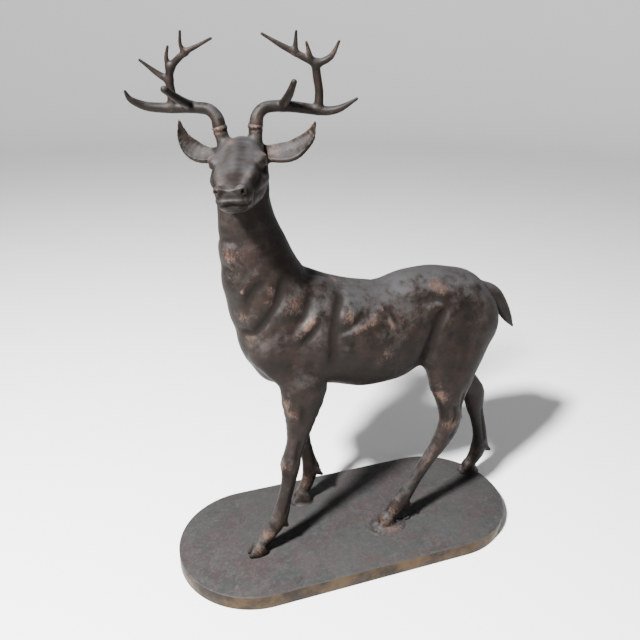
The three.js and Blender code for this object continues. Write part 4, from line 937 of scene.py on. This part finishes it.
def patina_group():
    """Cast bronze patina: a dark ground, a greyer film painted lighter on what faces up, painted shade on
    what faces down, copper rubbed through where it is worn or stands out, and dirt in the hollows, with
    painted shade where the relief is lowered."""
    nodes, come, leave = group_with("Bronze patina", [
        ("Place", "Vector", (0, 0, 0)), ("Relief", "Float", 0.5), ("Wear", "Float", 0.0),
        ("Facing up", "Float", 0.5), ("Ground", "Color", (0.03, 0.02, 0.02, 1)),
        ("Film", "Color", (0.1, 0.09, 0.1, 1)), ("Copper", "Color", (0.4, 0.2, 0.12, 1)),
        ("Rub", "Float", 0.5), ("Fineness", "Float", 1.0)],
        [("Colour", "Color"), ("Roughness", "Float"), ("Metallic", "Float"), ("Height", "Float")])
    place = nodes.add("VectorMath", operation="SCALE")
    nodes.feed(come["Place"], place.inputs[0])
    nodes.feed(come["Fineness"], place.inputs["Scale"])
    at = place.outputs[0]
    relief, wear, upward = come["Relief"], come["Wear"], come["Facing up"]
    ground, film, copper = come["Ground"], come["Film"], come["Copper"]
    mix, ramp, noise, times, total = nodes.mix, nodes.ramp, nodes.noise, nodes.times, nodes.total
    blotch = noise(at, 30, 6, 0.7)
    grain = noise(at, 170, 4, 0.7)
    brushed = noise(at, 60, 6, 0.75, swirl=1.1)
    strand = nodes.maths("SUBTRACT", noise(at, 52, 5, 0.6, (1.0, 0.7, 0.5), 2.2), 0.5)
    scratch = ramp(nodes.maths("ABSOLUTE", strand, 0), 0.075, 0.0)
    # Greenish clouds in the grey-violet film, and a paler, bluer film painted on what faces up in blotches,
    # as painted light from above.
    cloud = ramp(noise(at, 14, 5, 0.6), 0.42, 0.6, 0, 0.6)
    film_tone = mix(cloud, film, mix(0.55, film, (0.014, 0.02, 0.0165, 1)))
    painted_top_light = times(ramp(upward, 0.15, 0.9), ramp(blotch, 0.36, 0.6, 0.25, 0.95))
    film_tone = mix(painted_top_light, film_tone, mix(0.5, film, (0.034, 0.0365, 0.041, 1)))
    # The film covers the ground in random patches and more where it faces up, a painted light from above.
    film_cover_and_top_light = total((noise(at, 6, 4), 0.5), (blotch, 0.7), (brushed, 0.4), (upward, 0.3))
    base = mix(ramp(film_cover_and_top_light, 0.74, 1.08), ground, film_tone)
    # Rubbed spots get a paler tan film: wear, and also a painted sheen.
    worn_film_and_sheen = mix(0.35, film_tone, (0.05, 0.04, 0.031, 1))
    base = mix(ramp(wear, 0.15, 1.0, 0, 0.55), base, worn_film_and_sheen)
    # A warmer brown lies under the film in patches, more of it on what faces down as painted shade.
    warm_patches_and_shade = times(ramp(noise(at, 19, 5, 0.7), 0.42, 0.66), ramp(upward, 0.7, -0.3, 0.12, 0.5))
    base = mix(warm_patches_and_shade, base, mix(0.25, ground, copper))
    # Painted shade: what faces down is darkened towards the ground colour.
    base = mix(ramp(upward, 0.35, -0.5, 0, 0.72), base, ground)
    # Copper shows in fine specks, pinker in some places and paler in others.
    bare = mix(ramp(blotch, 0.4, 0.6), copper, mix(0.5, copper, (0.115, 0.085, 0.062, 1)))
    worn = total((wear, 0.5), (ramp(relief, 0.55, 0.95), 0.3))
    tooth = total((scratch, 0.22), (blotch, 0.8), (grain, 0.7))
    rubbed = times(ramp(nodes.maths("ADD", worn, tooth), 1.04, 1.5), come["Rub"])
    # Dirt darkens the hollows towards the ground colour, and the same mask darkens the spots of painted shade
    # where the relief was lowered.
    dirt_and_painted_shade = ramp(relief, 0.5, 0.2, 0, 0.85)
    nodes.feed(mix(dirt_and_painted_shade, mix(rubbed, base, bare), ground), leave["Colour"])
    nodes.feed(nodes.maths("ADD", ramp(blotch, 0.3, 0.7, 0.46, 0.64), times(dirt_and_painted_shade, 0.25)), leave["Roughness"])
    nodes.feed(ramp(rubbed, 0.0, 1.0, 0.04, 0.55), leave["Metallic"])
    nodes.feed(total((blotch, 0.7), (grain, 0.3), (brushed, 0.6)), leave["Height"])
    return nodes.tree


def patina(name, tones, rub, fineness, bump):
    """A bronze material; `tones` are its ground, film and copper."""
    material = bpy.data.materials.new(name)
    material.use_nodes = True
    nodes = Nodes(material.node_tree)
    shader = nodes.tree.nodes["Principled BSDF"]
    shader.inputs["Specular IOR Level"].default_value = 0.1
    effect = nodes.add("Group")
    effect.node_tree = bpy.data.node_groups.get("Bronze patina") or patina_group()
    # The normal's height drives the painted light on what faces up and the painted shade on what faces down.
    facing = nodes.add("SeparateXYZ")
    nodes.feed(nodes.add("NewGeometry").outputs["Normal"], facing.inputs["Vector"])
    ground, film, copper = (colour(values) for values in tones)
    for label, value in (
            ("Ground", ground), ("Film", film), ("Copper", copper), ("Rub", rub), ("Fineness", fineness),
            ("Place", nodes.add("TexCoord").outputs["Object"]),
            ("Relief", nodes.add("Attribute", attribute_name="relief").outputs["Fac"]),
            ("Wear", nodes.add("Attribute", attribute_name="wear").outputs["Fac"]),
            ("Facing up", facing.outputs["Z"])):
        nodes.feed(value, effect.inputs[label])
    skin_bump = nodes.add("Bump")
    for label, value in (("Strength", bump), ("Distance", 0.0025), ("Height", effect.outputs["Height"])):
        nodes.feed(value, skin_bump.inputs[label])
    nodes.feed(effect.outputs["Colour"], shader.inputs["Base Color"])
    nodes.feed(effect.outputs["Roughness"], shader.inputs["Roughness"])
    nodes.feed(effect.outputs["Metallic"], shader.inputs["Metallic"])
    nodes.feed(skin_bump.outputs["Normal"], shader.inputs["Normal"])
    return material


# Settings that a user would change.

def facet(name, description, size):
    return bpy.props.FloatProperty(
        name=name, description=description, default=size, subtype="DISTANCE", unit="LENGTH")


def tone(name, description, values):
    return bpy.props.FloatVectorProperty(name=name, description=description, default=values, subtype="COLOR")


class StagSizes(bpy.types.PropertyGroup):
    skin_facet: facet("Skin facet", "Size of the stag's skin facets, halved on the head", 5.8 * MM)
    antler_facet: facet("Antler facet", "Size of the antlers' facets", 2.6 * MM)


class StagColours(bpy.types.PropertyGroup):
    ground: tone("Ground", "Darkest patina, in the hollows", (0.0042, 0.0028, 0.002))
    film: tone("Film", "Grey-violet film over the patina", (0.0222, 0.0181, 0.0168))
    copper: tone("Copper", "Bronze rubbed bare on the high parts", (0.078, 0.038, 0.03))
    plate_film: tone("Plate film", "Paler film on the plate", (0.0235, 0.0216, 0.0219))
    floor: tone("Floor", "Plain floor of the studio", (0.93, 0.93, 0.93))


class SCULPTURE_OT_base_plate(bpy.types.Operator):
    """Model the base plate with half-round ends"""
    bl_idname = "sculpture.base_plate"
    bl_label = "Base plate"

    def execute(self, context):
        tones = context.scene.stag_colours
        length = PLATE_HIGH[0] - PLATE_LOW[0]
        width = PLATE_HIGH[1] - PLATE_LOW[1]
        height = PLATE_HIGH[2] - PLATE_LOW[2]
        clear_edit()
        bpy.ops.mesh.primitive_cylinder_add(vertices=96, radius=width / 2, depth=height,
                                            location=(0, 0, height / 2))
        plate = context.object
        plate.name = "plate"
        plate.data.name = "plate"
        bpy.ops.object.transform_apply(location=True, rotation=True, scale=True)
        # The two halves of the round are drawn apart by the plate's straight stretch.
        bpy.ops.object.mode_set(mode="EDIT")
        bpy.ops.mesh.select_all(action="SELECT")
        bpy.ops.mesh.bisect(plane_co=(0, 0, 0), plane_no=(1, 0, 0))
        bpy.ops.object.mode_set(mode="OBJECT")
        shift = (length - width) / 2
        mesh = bmesh.new()
        mesh.from_mesh(plate.data)
        middle = [e for e in mesh.edges if all(abs(v.co.x) < 1e-6 for v in e.verts)]
        bmesh.ops.split_edges(mesh, edges=middle)
        for v in mesh.verts:
            side = sum(f.calc_center_median().x for f in v.link_faces)
            v.co.x += math.copysign(shift, side)
        loops = [e for e in mesh.edges if e.is_boundary]
        bmesh.ops.bridge_loops(mesh, edges=loops)
        bmesh.ops.recalc_face_normals(mesh, faces=mesh.faces)
        mesh.to_mesh(plate.data)
        mesh.free()
        soften = plate.modifiers.new("edge", "BEVEL")
        soften.width = 2.5 * MM
        soften.segments = 3
        soften.limit_method = "ANGLE"
        bpy.ops.object.modifier_apply(modifier="edge")
        bpy.ops.object.shade_smooth_by_angle(angle=math.radians(35))
        material = patina("plate_patina", ((0.03, 0.025, 0.023), tones.plate_film, tones.copper), 0.5, 0.8,
                          0.3)
        paint_rim(material, height)
        finish_piece(plate, material, "base_plate", "base_plate")
        return {"FINISHED"}


def paint_rim(material, height):
    """Mottling and scratches on the plate's top, and ochre with dark patches on its upright edge."""
    nodes = Nodes(material.node_tree)
    effect = next(n for n in nodes.tree.nodes if n.bl_idname == "ShaderNodeGroup")
    for label, value in (("Relief", 0.5), ("Wear", 0.12)):
        nodes.tree.links.remove(effect.inputs[label].links[0])
        effect.inputs[label].default_value = value
    at = nodes.add("TexCoord").outputs["Object"]
    split = nodes.add("SeparateXYZ")
    nodes.feed(at, split.inputs["Vector"])
    edge = nodes.ramp(split.outputs["Z"], height - 5 * MM, height - 1.5 * MM, 1, 0)
    patches = nodes.ramp(nodes.noise(at, 9, 5, 0.65), 0.38, 0.6)
    ochre = nodes.mix(patches, (0.012, 0.0085, 0.006, 1), (0.042, 0.026, 0.0125, 1))
    # Brownish violet and greenish mottling broken up by grain, with thin pale scratches across it.
    broken = nodes.total((nodes.noise(at, 13, 6, 0.72, swirl=0.6), 0.7),
                         (nodes.noise(at, 75, 5, 0.75, swirl=1.0), 0.3))
    top = nodes.mix(nodes.ramp(broken, 0.42, 0.6), (0.031, 0.0215, 0.0222, 1), (0.0205, 0.0245, 0.0238, 1))
    for grain, low, high, most, tone in (
            (nodes.noise(at, 48, 6, 0.85, swirl=1.2), 0.45, 0.62, 0.7, (0.045, 0.0425, 0.04, 1)),
            (nodes.noise(at, 31, 7, 0.85, swirl=0.8), 0.5, 0.68, 0.6, (0.013, 0.0125, 0.012, 1)),
            (nodes.noise(at, 5, 5, 0.6), 0.42, 0.6, 0.4, (0.034, 0.035, 0.033, 1))):
        top = nodes.mix(nodes.ramp(grain, low, high, 0, most), top, tone)
    top = nodes.mix(0.85, effect.outputs["Colour"], top)
    for stretch in ((60, 3, 1), (5, 70, 1), (26, 34, 1)):
        lines = nodes.ramp(nodes.noise(at, 1, 3, 0.6, stretch), 0.66, 0.74, 0, 0.4)
        top = nodes.mix(lines, top, (0.06, 0.056, 0.055, 1))
    nodes.feed(nodes.mix(edge, top, ochre), nodes.tree.nodes["Principled BSDF"].inputs["Base Color"])


class SCULPTURE_OT_stag(bpy.types.Operator):
    """Sculpt the stag from hooves to pedicles"""
    bl_idname = "sculpture.stag"
    bl_label = "Stag"

    def execute(self, context):
        sizes, tones = context.scene.stag_sizes, context.scene.stag_colours
        field = Field()
        build_body(field)
        build_legs(field)
        build_feet(field)
        build_head(field)
        build_ears(field)
        build_relief(field)
        field.press_carvings()
        points, faces = skin(field, (-660, -190, -34), (520, 260, 1400), sizes.skin_facet / MM)
        stag = piece_from("stag_figure", field.settle(points), faces)
        refine_head(stag, field)
        for side in (-1, 1):
            at, way = joint(side)
            pedicle_cut(stag, at, way)
        cut_flat(stag, vec(0, 0, 0), (0, 0, -1))
        mark_relief_and_shade(stag, field, 7)
        raise_up(stag)
        shade(stag)
        material = patina("stag_patina", (tones.ground, tones.film, tones.copper), 0.8, 1.0, 0.35)
        finish_piece(stag, material, "stag", "stag")
        return {"FINISHED"}


def shade(obj):
    clear_edit()
    obj.select_set(True)
    bpy.context.view_layer.objects.active = obj
    bpy.ops.object.shade_smooth_by_angle(angle=math.radians(50))


def refine_head(obj, field):
    """Halve the facets of the head, where the carving is finest, and settle them again."""
    edit = bmesh.new()
    edit.from_mesh(obj.data)
    centre = Vector(in_head(60, 0, 0) * MM)
    middles = ((e, (e.verts[0].co + e.verts[1].co) / 2) for e in edit.edges)
    edges = [e for e, at in middles if (at - centre).length < HEAD_REACH * MM and at.z > JAW_HEIGHT * MM]
    bmesh.ops.subdivide_edges(edit, edges=edges, cuts=1, use_grid_fill=True)
    edit.to_mesh(obj.data)
    edit.free()
    points = points_of(obj)
    near = points[:, 2] > JAW_HEIGHT - 35
    points[near] = field.settle(points[near])
    set_points(obj, points)


def pedicle_cut(obj, at, way):
    """Take off what rises past a pedicle's flat joint, and close the cut."""
    edit = bmesh.new()
    edit.from_mesh(obj.data)
    near = {v for v in edit.verts if (v.co - Vector(at * MM)).length < 0.03}
    geometry = list(near) + [e for e in edit.edges if e.verts[0] in near and e.verts[1] in near]
    geometry += [f for f in edit.faces if all(v in near for v in f.verts)]
    bmesh.ops.bisect_plane(edit, geom=geometry, plane_co=Vector(at * MM), plane_no=Vector(way),
                           clear_outer=True)
    loops = [e for e in edit.edges if e.is_boundary]
    bmesh.ops.holes_fill(edit, edges=loops)
    bmesh.ops.triangulate(edit, faces=[f for f in edit.faces if len(f.verts) > 4])
    edit.to_mesh(obj.data)
    edit.free()


class SCULPTURE_OT_antlers(bpy.types.Operator):
    """Sculpt the two antlers on their pedicles"""
    bl_idname = "sculpture.antlers"
    bl_label = "Antlers"

    def execute(self, context):
        sizes, tones = context.scene.stag_sizes, context.scene.stag_colours
        film = [0.42 * c for c in tones.film]
        for side, name in ((1, "antler_left"), (-1, "antler_right")):
            field = build_antler(side)
            low = np.min([chain.low for chain in field.masses], axis=0) - 8
            high = np.max([chain.high for chain in field.masses], axis=0) + 8
            points, faces = skin(field, low, high, sizes.antler_facet / MM)
            antler = piece_from(name + "_cast", field.settle(points), faces)
            at, way = joint(side)
            cut_flat(antler, at + way * JOINT_GAP, -way)
            mark_relief_and_shade(antler, field, 5, 0.5)
            raise_up(antler)
            shade(antler)
            material = patina(name + "_patina", (tones.ground, film, tones.copper), 0.7, 1.3, 0.3)
            finish_piece(antler, material, name, name)
        return {"FINISHED"}


class SCULPTURE_OT_stage(bpy.types.Operator):
    """Lay the plain floor, hang the lamp and set the camera"""
    bl_idname = "sculpture.stage"
    bl_label = "Stage"

    def execute(self, context):
        clear_edit()
        floor = self.sweep(context)
        floor.data.materials.append(self.floor_paint(context.scene.stag_colours.floor))
        world = bpy.data.worlds.new("studio")
        world.use_nodes = True
        context.scene.world = world
        back = world.node_tree.nodes["Background"]
        back.inputs["Color"].default_value = (1, 1, 1, 1)
        back.inputs["Strength"].default_value = 0.16
        self.hang_lamp(context, (2.7, 1.9, 4.1), 0.5, 1700)
        self.set_camera(context)
        return {"FINISHED"}

    def hang_lamp(self, context, place, size, power):
        """One round lamp at the sun's side, turned to the middle of the figure."""
        lamp = bpy.data.lights.new("key", "AREA")
        lamp.shape = "DISK"
        lamp.size = size
        lamp.energy = power
        obj = bpy.data.objects.new("key", lamp)
        obj.location = place
        obj.rotation_euler = (Vector((0, 0, 0.8)) - Vector(place)).to_track_quat("-Z", "Y").to_euler()
        context.collection.objects.link(obj)

    def sweep(self, context, flat=9.0, bend=4.0, wall=5.0, steps=12):
        """A round floor that turns up into a backdrop, spun from its profile."""
        profile = [(0.0, 0.0), (2.0, 0.0), (4.0, 0.0), (6.5, 0.0)]
        turns = [math.pi / 2 * i / steps for i in range(steps + 1)]
        profile += [(flat + bend * math.sin(t), bend - bend * math.cos(t)) for t in turns]
        profile.append((flat + bend, bend + wall))
        mesh = bpy.data.meshes.new("studio_floor")
        mesh.from_pydata([(x, 0, z) for x, z in profile], [(i, i + 1) for i in range(len(profile) - 1)], [])
        floor = bpy.data.objects.new("studio_floor", mesh)
        context.collection.objects.link(floor)
        floor.select_set(True)
        context.view_layer.objects.active = floor
        spin = floor.modifiers.new("spin", "SCREW")
        spin.steps = 96
        spin.use_merge_vertices = True
        spin.use_normal_flip = True
        bpy.ops.object.modifier_apply(modifier="spin")
        bpy.ops.object.shade_smooth()
        return floor

    def floor_paint(self, tone):
        material = bpy.data.materials.new("floor_paint")
        material.use_nodes = True
        nodes = Nodes(material.node_tree)
        shader = nodes.tree.nodes["Principled BSDF"]
        cloud = nodes.noise(nodes.add("TexCoord").outputs["Object"], 1.5, 3)
        tinted = nodes.mix(nodes.ramp(cloud, 0.3, 0.7, 0.985, 1.0), colour([0.9 * c for c in tone]),
                           colour(tone))
        nodes.feed(tinted, shader.inputs["Base Color"])
        nodes.feed(nodes.ramp(cloud, 0.3, 0.7, 0.85, 0.9), shader.inputs["Roughness"])
        return material

    def set_camera(self, context):
        """The photograph's viewpoint: place, heading, height angle and a slight roll."""
        heading, rise, roll = (math.radians(a) for a in (70.281, 23.694, 0.635))
        back = Vector((math.cos(heading) * math.cos(rise), math.sin(heading) * math.cos(rise),
                       math.sin(rise)))
        right = Vector((-math.sin(heading), math.cos(heading), 0))
        up = back.cross(right)
        level = right * math.cos(roll) + up * math.sin(roll)
        upright = up * math.cos(roll) - right * math.sin(roll)
        place = Vector((0.7304, 1.7146, 1.5882 + PLATE_HIGH[2]))
        lens = bpy.data.cameras.new("photo_camera")
        lens.sensor_width = 36
        lens.lens = 36.59
        camera = bpy.data.objects.new("photo_camera", lens)
        turn = Matrix((level, upright, back)).transposed().to_4x4()
        camera.matrix_world = Matrix.Translation(place) @ turn
        context.collection.objects.link(camera)
        context.scene.camera = camera


class SCULPTURE_PT_panel(bpy.types.Panel):
    """Steps of the stag sculpture"""
    bl_idname = "SCULPTURE_PT_panel"
    bl_label = "Stag sculpture"
    bl_space_type = "VIEW_3D"
    bl_region_type = "UI"
    bl_category = "Stag"

    def draw(self, context):
        for step in STEPS:
            self.layout.operator(step.bl_idname)
        for group in (context.scene.stag_sizes, context.scene.stag_colours):
            for key in group.__annotations__:
                self.layout.prop(group, key)


STEPS = (SCULPTURE_OT_base_plate, SCULPTURE_OT_stag, SCULPTURE_OT_antlers, SCULPTURE_OT_stage)
CLASSES = (StagSizes, StagColours, *STEPS, SCULPTURE_PT_panel)


def register():
    for cls in CLASSES:
        bpy.utils.register_class(cls)
    bpy.types.Scene.stag_sizes = bpy.props.PointerProperty(type=StagSizes)
    bpy.types.Scene.stag_colours = bpy.props.PointerProperty(type=StagColours)


def unregister():
    del bpy.types.Scene.stag_sizes
    del bpy.types.Scene.stag_colours
    for cls in reversed(CLASSES):
        bpy.utils.unregister_class(cls)


def main():
    register()
    bpy.ops.sculpture.base_plate()
    bpy.ops.sculpture.stag()
    bpy.ops.sculpture.antlers()
    bpy.ops.sculpture.stage()


if __name__ == "__main__":
    main()
